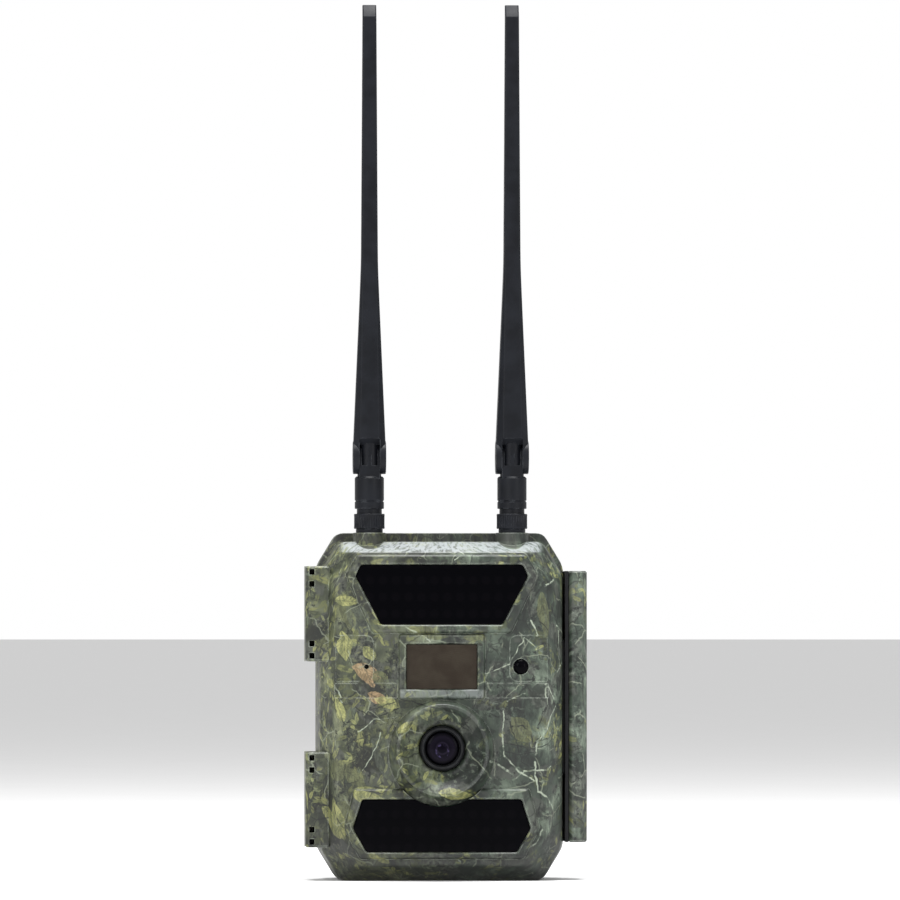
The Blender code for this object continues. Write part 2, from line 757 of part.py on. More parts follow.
def make_front_shell():
    top = CASE_H - RIM_DROP
    plateau = octagon(HALF_W - PLATEAU_INSET, PLATEAU_RISE, CASE_H - PLATEAU_TOP_DROP)
    outer = loft([
        at_y(CASE_OUTLINE, FRONT_BACK_Y),
        at_y(CASE_OUTLINE, RIM_Y),
        at_y(octagon(HALF_W - 0.3, 0.0, top), RIM_Y - 0.4),
        at_y(octagon(HALF_W - SHOULDER_INSET, 0.0, top), SHOULDER_Y),
        at_y(plateau, PLATEAU_Y),
    ])
    shell = piece("front_shell", "front_housing", "camo_front", outer)
    inner = octagon(HALF_W - SHOULDER_INSET - WALL, WALL, top - WALL)
    cut(shell, loft([
        at_y(cavity_outline(), FRONT_BACK_Y + 1.0),
        at_y(inner, SHOULDER_Y + 1.0),
        at_y(inset(plateau, WALL), PLATEAU_Y + WALL),
    ]), "hollow")
    for i, (x, z) in enumerate(screw_places()):
        length = PANEL_Y - PANEL_T - GAP - PLATEAU_Y - 2.0
        boss = rod("Y", (x, PLATEAU_Y + 2.0 + length / 2, z), SCREW_R + 1.7, length, 12)
        fuse(shell, boss, f"screw_boss_{i + 1}")
        bore = rod("Y", (x, PANEL_Y - SCREW_LENGTH / 2, z), SCREW_R + GAP, SCREW_LENGTH, 12)
        cut(shell, bore, f"screw_bore_{i + 1}")
    for side, x in ANTENNAS:
        fuse(shell, rod("Z", (x, BOSS_Y, CASE_H - BOSS_DEPTH / 2), BOSS_R, BOSS_DEPTH), f"{side}_boss")
        bore = rod("Z", (x, BOSS_Y, CASE_H), THREAD_R + GAP, 4 * BOSS_DEPTH, 16)
        cut(shell, bore, f"{side}_connector_bore")
    fuse(shell, raised(UPPER_BEZEL), "upper_bezel")
    fuse(shell, raised(LOWER_BEZEL), "lower_bezel")
    fuse(shell, raised(pir_rectangle(PIR_FRAME_HALF, PIR_FRAME_H / 2)), "pir_frame")
    seat = rod("Y", (0, PLATEAU_Y + RING_SEAT - 5.0, RING_BASE_Z), RING_BASE_R + GAP, 10.0, RING_SIDES)
    cut(shell, seat, "ring_seat")
    belt_low = PIR_Z - PIR_FRAME_H / 2 + 0.6
    belt_start = PIR_FRAME_HALF + 0.5
    for side, start, end in (("left", -HALF_W - 9.0, -belt_start), ("right", belt_start, HALF_W + 9.0)):
        belt = block(start, end, PLATEAU_Y - 1.0, PLATEAU_Y + BELT_DEPTH, belt_low, belt_low + BELT_RISE)
        cut(shell, belt, f"{side}_belt")
    open_window(shell, UPPER_WINDOW, "upper_window")
    open_window(shell, LOWER_WINDOW, "lower_window")
    open_window(shell, pir_rectangle(PIR_W / 2, PIR_H / 2), "pir_window")
    for label, x, z, radius in (
        ("light_sensor_bore", LIGHT_SENSOR_X, PIR_Z, LIGHT_SENSOR_R + GAP),
        ("microphone_hole", MIC_X, PIR_Z, MIC_R),
        ("lens_bore", 0.0, LENS_Z, BARREL_R + GAP),
    ):
        cut(shell, rod("Y", (x, PLATEAU_Y, z), radius, 12.0), label)
    cut(shell, port_opening(), "port_opening")
    middle = CASE_H / 2
    groove_half = HOOK_T / 2 + HOOK_PLAY
    groove = block(
        HALF_W - HOOK_REACH - 0.4, HALF_W + 1.0, HOOK_Y - groove_half, HOOK_Y + groove_half,
        middle - HOOK_HALF - 1.0, middle + HOOK_HALF + 1.0,
    )
    cut(shell, groove, "latch_groove")
    for i, start in enumerate(LUG_STARTS):
        add_lug(shell, start, f"lug_{i + 1}")


def add_lug(shell, start, label):
    end = start + LUG_LENGTH
    outer = -HALF_W - LUG_PROUD
    shape = [
        (outer, LUG_FRONT_Y + 1.2), (outer + 1.2, LUG_FRONT_Y), (LUG_INNER - HALF_W, LUG_FRONT_Y),
        (LUG_INNER - HALF_W, LUG_FRONT_Y + 3.0), (2.0 - HALF_W, SHOULDER_Y + 1.0),
        (2.0 - HALF_W, FRONT_BACK_Y), (outer, FRONT_BACK_Y),
    ]
    fuse(shell, prism(shape, "Z", start, end), label)
    (_, low), (high, _) = lug_ends(start)
    for i, (knuckle_low, knuckle_high) in enumerate(lug_ends(start)):
        fuse(shell, hinge_rod(KNUCKLE_R, knuckle_low, knuckle_high), f"{label}_knuckle_{i + 1}")
    cut(shell, hinge_rod(KNUCKLE_R + PLAY, low, high), f"{label}_relief")
    cut(shell, hinge_rod(PIN_R + PLAY, start - 1.0, end + 1.0, 12), f"{label}_bore")
    steps = [start + step for step in CORE_STEPS] + [end - step for step in CORE_STEPS]
    front, back = LUG_FRONT_Y - 1.0, LUG_FRONT_Y + CORE_DEPTH
    cores = [
        block(HINGE_X - CORE_W / 2, HINGE_X + CORE_W / 2, front, back, z - CORE_H / 2, z + CORE_H / 2)
        for z in steps
    ]
    cut(shell, together(*cores), f"{label}_cores")


def port_opening():
    pivot_y = PORT_Y
    round_r = PORT_COVER_T / 2
    wide = PORT_W / 2 + GAP
    front, back = pivot_y - round_r - GAP, pivot_y + PORT_D + GAP
    return block(PORT_X - wide, PORT_X + wide, front, back, -1.0, WALL + 1.0)


def make_port_cover():
    """A rubber flap with its round front edge on its own hinge line."""
    middle_z = GAP + PORT_COVER_T / 2
    edge = arc((PORT_Y, middle_z), PORT_COVER_T / 2, 90, 270, 8)
    rear = [(PORT_Y + PORT_D, GAP), (PORT_Y + PORT_D, GAP + PORT_COVER_T)]
    flap = prism(edge + rear, "X", PORT_X - PORT_W / 2, PORT_X + PORT_W / 2)
    piece("port_cover", "port_cover", "rubber", flap)


def make_windows():
    front, back = BEZEL_Y + WINDOW_SINK, BEZEL_Y + WINDOW_SINK + WINDOW_T
    piece("upper_ir_window", "front_housing", "dark_window", prism(UPPER_WINDOW, "Y", front, back))
    lower = piece("lower_ir_window", "front_housing", "dark_window", prism(LOWER_WINDOW, "Y", front, back))
    around_ring = rod("Y", (0, front, RING_BASE_Z), RING_BASE_R + GAP, 10.0, RING_SIDES)
    cut(lower, around_ring, "ring_clearance")


def make_led_board(name, outline, rows, pitch_x, skip_half):
    """A board with rows of emitters. skip_half leaves out the emitters that are that near the middle."""
    front = LED_BOARD_Y
    shape = inset(outline, WINDOW_LEDGE + GAP)
    board = piece(name, "front_housing", "circuit_board", prism(shape, "Y", front, front + BOARD_T))
    leds = []
    for z, count in rows:
        for i in range(count):
            x = (i - (count - 1) / 2) * pitch_x
            if abs(x) >= skip_half:
                leds.append(rod("Y", (x, front - 0.7, z), LED_R, 2.0, 8))
    fuse(board, together(*leds), "emitters")


def make_pir():
    half = PIR_W / 2
    back = WINDOW_SEAT_Y - GAP
    front = back - PIR_T
    radius = (half**2 + PIR_BULGE**2) / (2 * PIR_BULGE)
    swing = math.degrees(math.asin(half / radius))
    bulge = arc((0, front - PIR_BULGE + radius), radius, 270 - swing, 270 + swing, 10)
    outline = [(-half, back)] + bulge + [(half, back)]
    film = prism(outline, "Z", PIR_Z - PIR_H / 2, PIR_Z + PIR_H / 2)
    piece("pir_lens", "front_housing", "pir_film", film)
    can_back = MAIN_BOARD_Y - GAP
    can = [(0, 0), (4.6, 0), (4.6, -0.6), (4.1, -0.6), (4.1, -3.6), (0, -3.6)]
    turned("pir_sensor", "front_housing", "steel", can, (0, can_back, PIR_Z), "Y", 16)


def make_light_sensor():
    radius = LIGHT_SENSOR_R
    angles = [math.radians(degrees) for degrees in (0, 30, 60)]
    dome = [(radius * math.cos(angle), -0.5 * radius * math.sin(angle)) for angle in angles]
    dome.append((0, -0.5 * radius))
    profile = [(0, WALL + 1.0), (radius, WALL + 1.0)] + dome
    at = (LIGHT_SENSOR_X, PLATEAU_Y, PIR_Z)
    turned("light_sensor", "front_housing", "dark_window", profile, at, "Y", 20)


def make_lens():
    def circle(y, middle_z, radius):
        step = 2 * math.pi / RING_SIDES
        return [
            (radius * math.cos(i * step), y, middle_z + radius * math.sin(i * step))
            for i in range(RING_SIDES)
        ]

    seat = PLATEAU_Y + RING_SEAT - GAP
    bore = BARREL_R + GAP
    sections = [
        circle(seat, RING_BASE_Z, RING_BASE_R),
        circle(RING_FRONT_Y + 1.6, RING_RIM_Z, RING_RIM_R + 0.4),
        circle(RING_FRONT_Y + 0.4, RING_RIM_Z, RING_RIM_R),
        circle(RING_FRONT_Y, RING_RIM_Z, RING_RIM_R - 0.5),
        circle(RING_FRONT_Y + 0.3, RING_RIM_Z, RING_RIM_R - RING_WALL),
        circle(DISH_FLOOR_Y, LENS_Z, bore + 0.6),
        circle(seat, LENS_Z, bore),
    ]
    piece("lens_ring", "front_housing", "camo_front", loft(sections, closed=True))

    depth = BARREL_BACK_Y - BARREL_FRONT_Y
    barrel = [
        (BARREL_R, depth), (BARREL_R, 0.8), (BARREL_R - 0.7, 0), (BARREL_R - 1.4, 0),
        (GLASS_R + GAP, 1.2), (GLASS_R + GAP, 4.4), (APERTURE_R, 5.2), (APERTURE_R, depth),
    ]
    at = (0, BARREL_FRONT_Y, LENS_Z)
    turned("lens_barrel", "front_housing", "black_plastic", barrel, at, "Y", 32)
    front, edge, back = 0.9, 2.2, 4.1
    dome = [(GLASS_R * math.sin(a), edge - (edge - front) * math.cos(a)) for a in (1.2, 0.8, 0.4)]
    glass = [(0, back), (GLASS_R, back), (GLASS_R, edge)] + dome + [(0, front)]
    turned("lens_glass", "front_housing", "lens_glass", glass, at, "Y", 32)
    half = BARREL_R - 0.3
    holder = block(-half, half, BARREL_BACK_Y + GAP, MAIN_BOARD_Y - GAP, LENS_Z - half, LENS_Z + half)
    piece("image_sensor_module", "front_housing", "black_plastic", holder)


def make_main_board():
    half = SCREW_X - SCREW_R - 1.7 - 1.8
    y = MAIN_BOARD_Y
    shape = block(-half, half, y, y + BOARD_T, 4.0, 104.0)
    board = piece("main_board", "front_housing", "circuit_board", shape)
    fuse(board, block(PORT_X - 4.5, PORT_X + 4.5, y - 0.9, y + 4.0, WALL + 1.0, 11.0), "usb_socket")
    fuse(board, block(-30.0, -4.0, y + 0.8, y + 4.2, 60.0, 90.0), "modem")
    fuse(board, block(6.0, 18.0, y + 0.8, y + 3.0, 66.0, 78.0), "processor")


# ---------------------------------------------------------------- inner panel


def key_places():
    return {
        "menu": (-2 * KEY_SPREAD, KEY_Z),
        "up": (0.0, KEY_Z + KEY_SPREAD),
        "down": (0.0, KEY_Z - KEY_SPREAD),
        "ok": (0.0, KEY_Z),
    }


def make_panel():
    back = PANEL_Y
    front = PANEL_Y - PANEL_T
    outline = inset(cavity_outline(), GAP + 0.3)
    panel = piece("inner_panel", "front_housing", "black_plastic", prism(outline, "Y", front, back))
    screen_z = CASE_H - SCREEN_DROP
    half_w, half_h = SCREEN_W / 2, SCREEN_H / 2
    opening = block(
        -half_w - GAP, half_w + GAP, front - 1.0, back + 1.0,
        screen_z - half_h - GAP, screen_z + half_h + GAP,
    )
    slot_half = (SWITCH_TRAVEL + SWITCH_W) / 2 + GAP
    slot = block(-slot_half, slot_half, front - 1.0, back + 1.0, SWITCH_Z - 2.0 - GAP, SWITCH_Z + 2.0 + GAP)
    key_holes = [rod("Y", (x, back, z), KEY_R + GAP, 8.0, 16) for x, z in key_places().values()]
    screw_holes = [rod("Y", (x, back, z), SCREW_R + GAP, 8.0, 12) for x, z in screw_places()]
    cut(panel, together(opening, slot, *key_holes, *screw_holes), "openings")
    module = block(-half_w, half_w, front - 2.0, back - 0.2, screen_z - half_h, screen_z + half_h)
    piece("screen_module", "front_housing", "screen", module)
    add_card("sd_card", panel, SD_Z, SD_L, SD_W, SD_T)
    add_card("sim_card", panel, SIM_Z, SIM_L, SIM_W, SIM_T)


def add_card(name, panel, z, length, width, thick):
    """A card lying on the panel in a holder that is open to +X."""
    start = CARD_X - length / 2
    end = CARD_X + length / 2
    face = PANEL_Y
    top = face + GAP + thick + GAP
    outer_half, inner_half = width / 2 + GAP + 1.2, width / 2 + GAP
    holder_end = end - CARD_PROUD
    holder = block(start - 1.8, holder_end, face - 0.5, top + 1.0, z - outer_half, z + outer_half)
    fuse(panel, holder, f"{name}_holder")
    slot = block(start - GAP, end, face, top, z - inner_half, z + inner_half)
    cut(panel, slot, f"{name}_slot")
    add_body(name, (CARD_X, face, z), "front_housing")
    card = block(start, end, face + GAP, face + GAP + thick, z - width / 2, z + width / 2)
    piece(name, name, "card", card)


def make_controls():
    front = PANEL_Y - PANEL_T
    for key, (x, z) in key_places().items():
        name = f"key_{key}"
        add_body(name, (x, front, z), "front_housing")
        profile = [
            (0, PANEL_T + KEY_PROUD), (KEY_R - 0.4, PANEL_T + KEY_PROUD), (KEY_R, PANEL_T + KEY_PROUD - 0.4),
            (KEY_R, -GAP), (KEY_R + 0.9, -GAP), (KEY_R + 0.9, -1.5), (0, -1.5),
        ]
        # The profile runs down the piece's outer side from its +Y end.
        turned(name, name, "grey_key", profile, (x, front, z), "Y", 16)
    start = -SWITCH_TRAVEL / 2
    add_body("power_switch", (start, front, SWITCH_Z), "front_housing")
    foot = block(start - 4.5, start + 4.5, front - 1.5, front - GAP, SWITCH_Z - 3.5, SWITCH_Z + 3.5)
    knob = piece("power_switch", "power_switch", "grey_key", foot)
    half = SWITCH_W / 2
    stem = block(start - half, start + half, front - 1.0, PANEL_Y + 1.6, SWITCH_Z - 2.0, SWITCH_Z + 2.0)
    fuse(knob, stem, "knob")


def make_panel_screws():
    for i, (x, z) in enumerate(screw_places()):
        head = PANEL_Y + GAP
        profile = [
            (0, 1.6), (2.2, 1.6), (2.8, 1.0), (2.8, 0), (SCREW_R, 0),
            (SCREW_R, 1.5 - SCREW_LENGTH), (0, 1.5 - SCREW_LENGTH),
        ]
        turned(f"panel_screw_{i + 1}", "front_housing", "steel", profile, (x, head, z), "Y", 12)


# ---------------------------------------------------------------- antennas


def blade_section(x, height, half_w, half_d, panel_half, front=None):
    """An eight-sided section with a flat front panel and chamfered sides."""
    front = -half_d if front is None else front
    chamfer = min(half_w - panel_half, half_d * 0.45)
    shape = [
        (-panel_half, front), (panel_half, front),
        (half_w, front + chamfer), (half_w, half_d - chamfer * 0.5),
        (panel_half, half_d), (-panel_half, half_d),
        (-half_w, half_d - chamfer * 0.5), (-half_w, front + chamfer),
    ]
    return [(x + a, BOSS_Y + b, FORK_Z + height) for a, b in shape]


def make_antenna(side, x):
    connector = [
        (0, 5.4), (THREAD_R, 5.4), (THREAD_R, GAP + FLANGE_T), (FLANGE_R, GAP + FLANGE_T),
        (FLANGE_R, GAP), (THREAD_R, GAP), (THREAD_R, -BOSS_DEPTH - 3.0), (0, -BOSS_DEPTH - 3.0),
    ]
    at = (x, BOSS_Y, CASE_H)
    turned(f"{side}_antenna_connector", "front_housing", "antenna_black", connector, at, sides=16)

    nut_z = CASE_H + GAP + FLANGE_T + GAP
    nut_body = f"{side}_nut"
    add_body(nut_body, (x, BOSS_Y, nut_z), "front_housing")
    bore, neck_bore = THREAD_R + PLAY, STEM_R + PLAY
    nut = [
        (neck_bore, NUT_H), (NUT_R - 0.5, NUT_H), (NUT_R, NUT_H - 0.5), (NUT_R, 0.5),
        (NUT_R - 0.5, 0), (bore, 0), (bore, NUT_H - 2.2), (neck_bore, NUT_H - 2.2),
    ]
    turned(f"{side}_antenna_nut", nut_body, "antenna_black", nut, (x, BOSS_Y, nut_z))

    neck_z = nut_z + NUT_H + GAP
    swivel_body = f"{side}_swivel"
    add_body(swivel_body, (x, BOSS_Y, neck_z), "front_housing")
    top = NECK_H + SWIVEL_H
    profile = [
        (0, top), (SWIVEL_R - 0.6, top), (SWIVEL_R, top - 0.6), (SWIVEL_R, NECK_H),
        (NECK_R, NECK_H), (NECK_R, 0), (STEM_R, 0), (STEM_R, -2.0), (0, -2.0),
    ]
    swivel = turned(f"{side}_antenna_swivel", swivel_body, "antenna_black", profile, (x, BOSS_Y, neck_z))
    root_z = neck_z + top - 1.0
    root = [(BOSS_Y - TONGUE_HALF_DEPTH, root_z), (BOSS_Y + TONGUE_HALF_DEPTH, root_z)]
    tongue = root + arc((BOSS_Y, FORK_Z), TONGUE_HALF_DEPTH, 0, 180, 10)
    fuse(swivel, prism(tongue, "X", x - TONGUE_W / 2, x + TONGUE_W / 2), "tongue")
    cut(swivel, rod("X", (x, BOSS_Y, FORK_Z), PIN_R + PLAY, 2 * FORK_W, 12), "pin_bore")

    blade_body = f"{side}_blade"
    add_body(blade_body, (x, BOSS_Y, FORK_Z), swivel_body)
    sections = [blade_section(x, *values) for values in BLADE_SECTIONS]
    sections.append(blade_section(x, BLADE_H - TIP_H, TIP_HALF_W, TIP_HALF_D, TIP_PANEL_HALF))
    sections.append(blade_section(x, BLADE_H, TIP_HALF_W, TIP_HALF_D, TIP_PANEL_HALF, front=0.4))
    blade = piece(f"{side}_antenna_blade", blade_body, "antenna_black", loft(sections))
    fuse(blade, rod("X", (x, BOSS_Y, FORK_Z), FORK_R, FORK_W, 24), "fork_round")
    slot_half = TONGUE_W / 2 + GAP
    start, end = x - slot_half, x + slot_half
    reach = TONGUE_HALF_DEPTH + SLOT_PLAY
    front, back, below = BOSS_Y - 9.0, BOSS_Y + 9.0, FORK_Z - 9.0
    # Open to the front, where the tongue swings out, and closed round its end at the back.
    slot = [(front, below), (back, below), (back, FORK_Z)] + arc((BOSS_Y, FORK_Z), reach, 0, 90, 6)
    slot.append((front, FORK_Z + reach))
    cut(blade, prism(slot, "X", start, end), "fork_slot")
    shelf_base = FORK_Z + reach - 0.5
    shelf = [(front, shelf_base), (BOSS_Y - 3.5, shelf_base), (front, shelf_base + SHELF_H + 0.5)]
    cut(blade, prism(shelf, "X", start, end), "shelf")
    cut(blade, rod("X", (x, BOSS_Y, FORK_Z), PIN_R + PLAY, 2 * FORK_W, 12), "pin_bore")
    pin = rod("X", (x, BOSS_Y, FORK_Z), PIN_R, FORK_W - 2 * GAP, 12)
    piece(f"{side}_antenna_pin", blade_body, "steel", pin)


# ---------------------------------------------------------------- assembly


add_body("back_case")
add_body("latch", (LATCH_PIVOT_X, LATCH_PIVOT_Y, CASE_H / 2), "back_case")
add_body("front_housing", (HINGE_X, PARTING_Y, CASE_H / 2), "back_case")
add_body("port_cover", (PORT_X, PORT_Y, GAP + PORT_COVER_T / 2), "front_housing")

make_back_case()
make_gasket()
make_pins()
make_tree_bracket("tree_bracket_lower", BRACKET_END)
make_tree_bracket("tree_bracket_upper", CASE_H - BRACKET_END - BRACKET_H)
make_battery_tray()
make_cells()
make_contact_plate("contact_plate_lower", bank_spans()[0][0], 1)
make_contact_plate("contact_plate_upper", bank_spans()[1][1], -1)
make_sockets()
make_latch()

make_front_shell()
make_port_cover()
make_windows()
top_rows = [(CASE_H - 18.5, 12), (CASE_H - 25.5, 10), (CASE_H - 32.5, 8)]
make_led_board("led_board_upper", UPPER_WINDOW, top_rows, 5.4, 0.0)
make_led_board("led_board_lower", LOWER_WINDOW, [(18.0, 10), (25.5, 12)], 5.4, 0.0)
make_pir()
make_light_sensor()
make_lens()
make_main_board()
make_panel()
make_controls()
make_panel_screws()
for side, x in ANTENNAS:
    make_antenna(side, x)

for obj in PARTS.objects:
    if obj.type == "MESH":
        obj.data.shade_smooth()
        obj.data.set_sharp_from_angle(angle=math.radians(35))
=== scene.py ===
"""The trail camera's looks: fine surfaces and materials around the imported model, in millimetres."""

import math

import bmesh
import bpy
from mathutils import Matrix, Vector


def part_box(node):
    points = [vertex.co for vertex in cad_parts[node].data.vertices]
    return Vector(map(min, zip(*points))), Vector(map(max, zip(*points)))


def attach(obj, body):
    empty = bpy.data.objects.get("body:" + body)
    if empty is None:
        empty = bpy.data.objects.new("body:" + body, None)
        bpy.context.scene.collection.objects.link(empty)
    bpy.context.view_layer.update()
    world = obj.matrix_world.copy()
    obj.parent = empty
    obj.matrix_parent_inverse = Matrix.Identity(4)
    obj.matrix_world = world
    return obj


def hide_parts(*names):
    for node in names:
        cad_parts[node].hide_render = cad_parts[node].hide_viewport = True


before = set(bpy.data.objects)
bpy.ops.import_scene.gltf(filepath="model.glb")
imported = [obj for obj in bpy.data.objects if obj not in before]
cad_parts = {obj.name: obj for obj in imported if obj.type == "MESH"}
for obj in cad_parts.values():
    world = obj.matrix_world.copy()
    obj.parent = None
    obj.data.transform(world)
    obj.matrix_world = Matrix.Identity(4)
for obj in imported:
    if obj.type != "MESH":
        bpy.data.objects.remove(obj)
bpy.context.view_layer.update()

MM = 0.001


def box_mm(node):
    low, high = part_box(node)
    return low / MM, high / MM


def middle_mm(node):
    low, high = box_mm(node)
    return (low + high) / 2


# ---------------------------------------------------------------- places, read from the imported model

PANEL = box_mm("inner_panel")
GASKET = box_mm("case_gasket")
RING = box_mm("lens_ring")
CX = middle_mm("inner_panel").x
GASKET_IN = 1.3
HALF_W = (GASKET[1].x - GASKET[0].x) / 2 + GASKET_IN
CASE_H = GASKET[1].z + GASKET_IN
PARTING_Y = GASKET[0].y - 0.25
PLATEAU_Y = RING[1].y + 0.1
BEZEL_Y = PLATEAU_Y - 2.0
RIM_Y = PARTING_Y - 7.0
SHOULDER_Y = PARTING_Y - 21.0
TOP_Z = CASE_H - 3.8
WALL = 2.5
HINGE_X = middle_mm("hinge_pin_upper").x
KNUCKLE_R = 2.7
KNUCKLE_LENGTH = 11.0
PIN_CLEAR = 1.5
LENS = middle_mm("lens_barrel")
PIR = middle_mm("pir_lens")
ANTENNAS = ("left", "right")


# ---------------------------------------------------------------- materials


def srgb(red, green, blue):
    """A colour in 0 to 255, as it looks on a screen, as a linear colour."""
    linear = [
        ((value / 255 + 0.055) / 1.055) ** 2.4 if value > 10 else value / 3294.6
        for value in (red, green, blue)
    ]
    return (*linear, 1.0)


class Maker:
    """Adds shader nodes to a tree by short calls. A value is a number, a colour or another node's output."""

    def __init__(self, tree):
        self.tree = tree

    def node(self, kind, **settings):
        made = self.tree.nodes.new(kind)
        for name, value in settings.items():
            setattr(made, name, value)
        return made

    def plug(self, socket, value):
        if isinstance(value, bpy.types.NodeSocket):
            self.tree.links.new(value, socket)
        else:
            socket.default_value = value

    def math(self, operation, first, second=0.0, third=0.0, clamp=False):
        made = self.node("ShaderNodeMath", operation=operation, use_clamp=clamp)
        for socket, value in zip(made.inputs, (first, second, third)):
            self.plug(socket, value)
        return made.outputs[0]

    def vector(self, operation, first, second, third=(0.0, 0.0, 0.0)):
        made = self.node("ShaderNodeVectorMath", operation=operation)
        for socket, value in zip(made.inputs, (first, second, third)):
            self.plug(socket, value)
        return made.outputs["Vector"]

    def dot(self, first, second):
        made = self.node("ShaderNodeVectorMath", operation="DOT_PRODUCT")
        self.plug(made.inputs[0], first)
        self.plug(made.inputs[1], second)
        return made.outputs["Value"]

    def length(self, vector):
        made = self.node("ShaderNodeVectorMath", operation="LENGTH")
        self.plug(made.inputs[0], vector)
        return made.outputs["Value"]

    def scaled(self, vector, factor):
        made = self.node("ShaderNodeVectorMath", operation="SCALE")
        self.plug(made.inputs[0], vector)
        self.plug(made.inputs["Scale"], factor)
        return made.outputs["Vector"]

    def parts(self, vector):
        made = self.node("ShaderNodeSeparateXYZ")
        self.plug(made.inputs[0], vector)
        return made.outputs

    def join(self, x, y, z=0.0):
        made = self.node("ShaderNodeCombineXYZ")
        for socket, value in zip(made.inputs, (x, y, z)):
            self.plug(socket, value)
        return made.outputs[0]

    def noise(self, vector, size, detail=2.0, rough=0.5, output="Fac", flat=False):
        """Noise whose features are about size mm wide."""
        made = self.node("ShaderNodeTexNoise", noise_dimensions="2D" if flat else "3D")
        self.plug(made.inputs["Vector"], vector)
        made.inputs["Scale"].default_value = 1 / size
        made.inputs["Detail"].default_value = detail
        made.inputs["Roughness"].default_value = rough
        return made.outputs[output]

    def cells(self, vector, size, feature="F1", flat=True, randomness=1.0):
        made = self.node("ShaderNodeTexVoronoi", feature=feature, voronoi_dimensions="2D" if flat else "3D")
        self.plug(made.inputs["Vector"], vector)
        made.inputs["Scale"].default_value = 1 / size
        made.inputs["Randomness"].default_value = randomness
        return made.outputs

    def step(self, value, low, high, to_low=0.0, to_high=1.0):
        """A smooth step of value between low and high."""
        made = self.node("ShaderNodeMapRange", interpolation_type="SMOOTHSTEP")
        for socket, number in zip(made.inputs, (value, low, high, to_low, to_high)):
            self.plug(socket, number)
        return made.outputs[0]

    def mix(self, factor, first, second, blend="MIX"):
        made = self.node("ShaderNodeMix", data_type="RGBA", blend_type=blend)
        for index, value in ((0, factor), (6, first), (7, second)):
            self.plug(made.inputs[index], value)
        return made.outputs[2]

    def ramp(self, factor, *stops, mode="LINEAR"):
        made = self.node("ShaderNodeValToRGB")
        made.color_ramp.interpolation = mode
        elements = made.color_ramp.elements
        while len(elements) < len(stops):
            elements.new(0.5)
        for element, (position, colour) in zip(elements, stops):
            element.position = position
            element.color = colour
        self.plug(made.inputs[0], factor)
        return made.outputs[0]


class Shader(Maker):
    """A Principled material. Its texture coordinates are the frame's, in mm."""

    def __init__(self, name, roughness=0.5, metallic=0.0, **sockets):
        self.material = bpy.data.materials.new(name)
        self.material.use_nodes = True
        super().__init__(self.material.node_tree)
        self.surface = self.tree.nodes["Principled BSDF"]
        self.surface.inputs["Roughness"].default_value = roughness
        self.surface.inputs["Metallic"].default_value = metallic
        for socket, value in sockets.items():
            self.surface.inputs[socket.replace("_", " ")].default_value = value
        coordinates = self.node("ShaderNodeTexCoord").outputs["Object"]
        self.place = self.vector("MULTIPLY", coordinates, (1 / MM, 1 / MM, 1 / MM))

    def drawn(self, tree, lines, place):
        """One mask of every (width, start, end) line, each drawn by a node group."""
        mask = 0.0
        for width, start, end in lines:
            made = self.node("ShaderNodeGroup", node_tree=tree)
            values = (place, (*start, 0.0), (*end, 0.0), width, mask)
            for socket, value in zip(made.inputs, values):
                self.plug(socket, value)
            mask = made.outputs[0]
        return mask

    def colour(self, value):
        self.plug(self.surface.inputs["Base Color"], value)

    def rough(self, value):
        self.plug(self.surface.inputs["Roughness"], value)

    def deepened(self, value, power, saturation, brightness=1.3):
        """A colour with more contrast and less saturation."""
        darker = self.node("ShaderNodeGamma")
        self.plug(darker.inputs["Color"], value)
        darker.inputs["Gamma"].default_value = power
        duller = self.node("ShaderNodeHueSaturation")
        duller.inputs["Saturation"].default_value = saturation
        duller.inputs["Value"].default_value = brightness
        self.plug(duller.inputs["Color"], darker.outputs[0])
        return duller.outputs[0]

    def bump(self, height, depth, strength=1.0):
        """Raises the surface by height, from 0 to 1, times depth in mm. Calls add up."""
        made = self.node("ShaderNodeBump")
        made.inputs["Strength"].default_value = strength
        made.inputs["Distance"].default_value = depth * MM
        self.plug(made.inputs["Height"], height)
        normal = self.surface.inputs["Normal"]
        if normal.is_linked:
            self.tree.links.new(normal.links[0].from_socket, made.inputs["Normal"])
        self.plug(normal, made.outputs[0])

    def grey(self, value):
        """A grey colour of this value."""
        made = self.node("ShaderNodeCombineColor")
        for socket in made.inputs:
            self.plug(socket, value)
        return made.outputs[0]

    def edges(self, reach, start=0.4, end=0.62):
        """1 near an edge and 0 on flats, broken up by noise between start and end."""
        made = self.node("ShaderNodeBevel", samples=4)
        made.inputs["Radius"].default_value = reach * MM
        true = self.node("ShaderNodeNewGeometry").outputs["Normal"]
        turned = self.math("SUBTRACT", 1.0, self.dot(made.outputs[0], true))
        broken = self.step(self.noise(self.place, 3.0, 4.0), start, end)
        return self.math("MULTIPLY", self.step(turned, 0.01, 0.12), broken)


# ---------------------------------------------------------------- shapes, from the case's own middle


def new_object(name, bm, *materials):
    bmesh.ops.recalc_face_normals(bm, faces=bm.faces)
    bm.transform(Matrix.Translation((CX * MM, 0, 0)) @ Matrix.Scale(MM, 4))
    mesh = bpy.data.meshes.new(name)
    bm.to_mesh(mesh)
    bm.free()
    obj = bpy.data.objects.new(name, mesh)
    bpy.context.scene.collection.objects.link(obj)
    for material in materials:
        mesh.materials.append(material)
    return obj


def settle(obj, angle=32.0):
    """Applies the modifiers and shades smooth between sharp edges."""
    graph = bpy.context.evaluated_depsgraph_get()
    mesh = bpy.data.meshes.new_from_object(obj.evaluated_get(graph))
    obj.modifiers.clear()
    obj.data = mesh
    mesh.shade_smooth()
    mesh.set_sharp_from_angle(angle=math.radians(angle))
    return obj


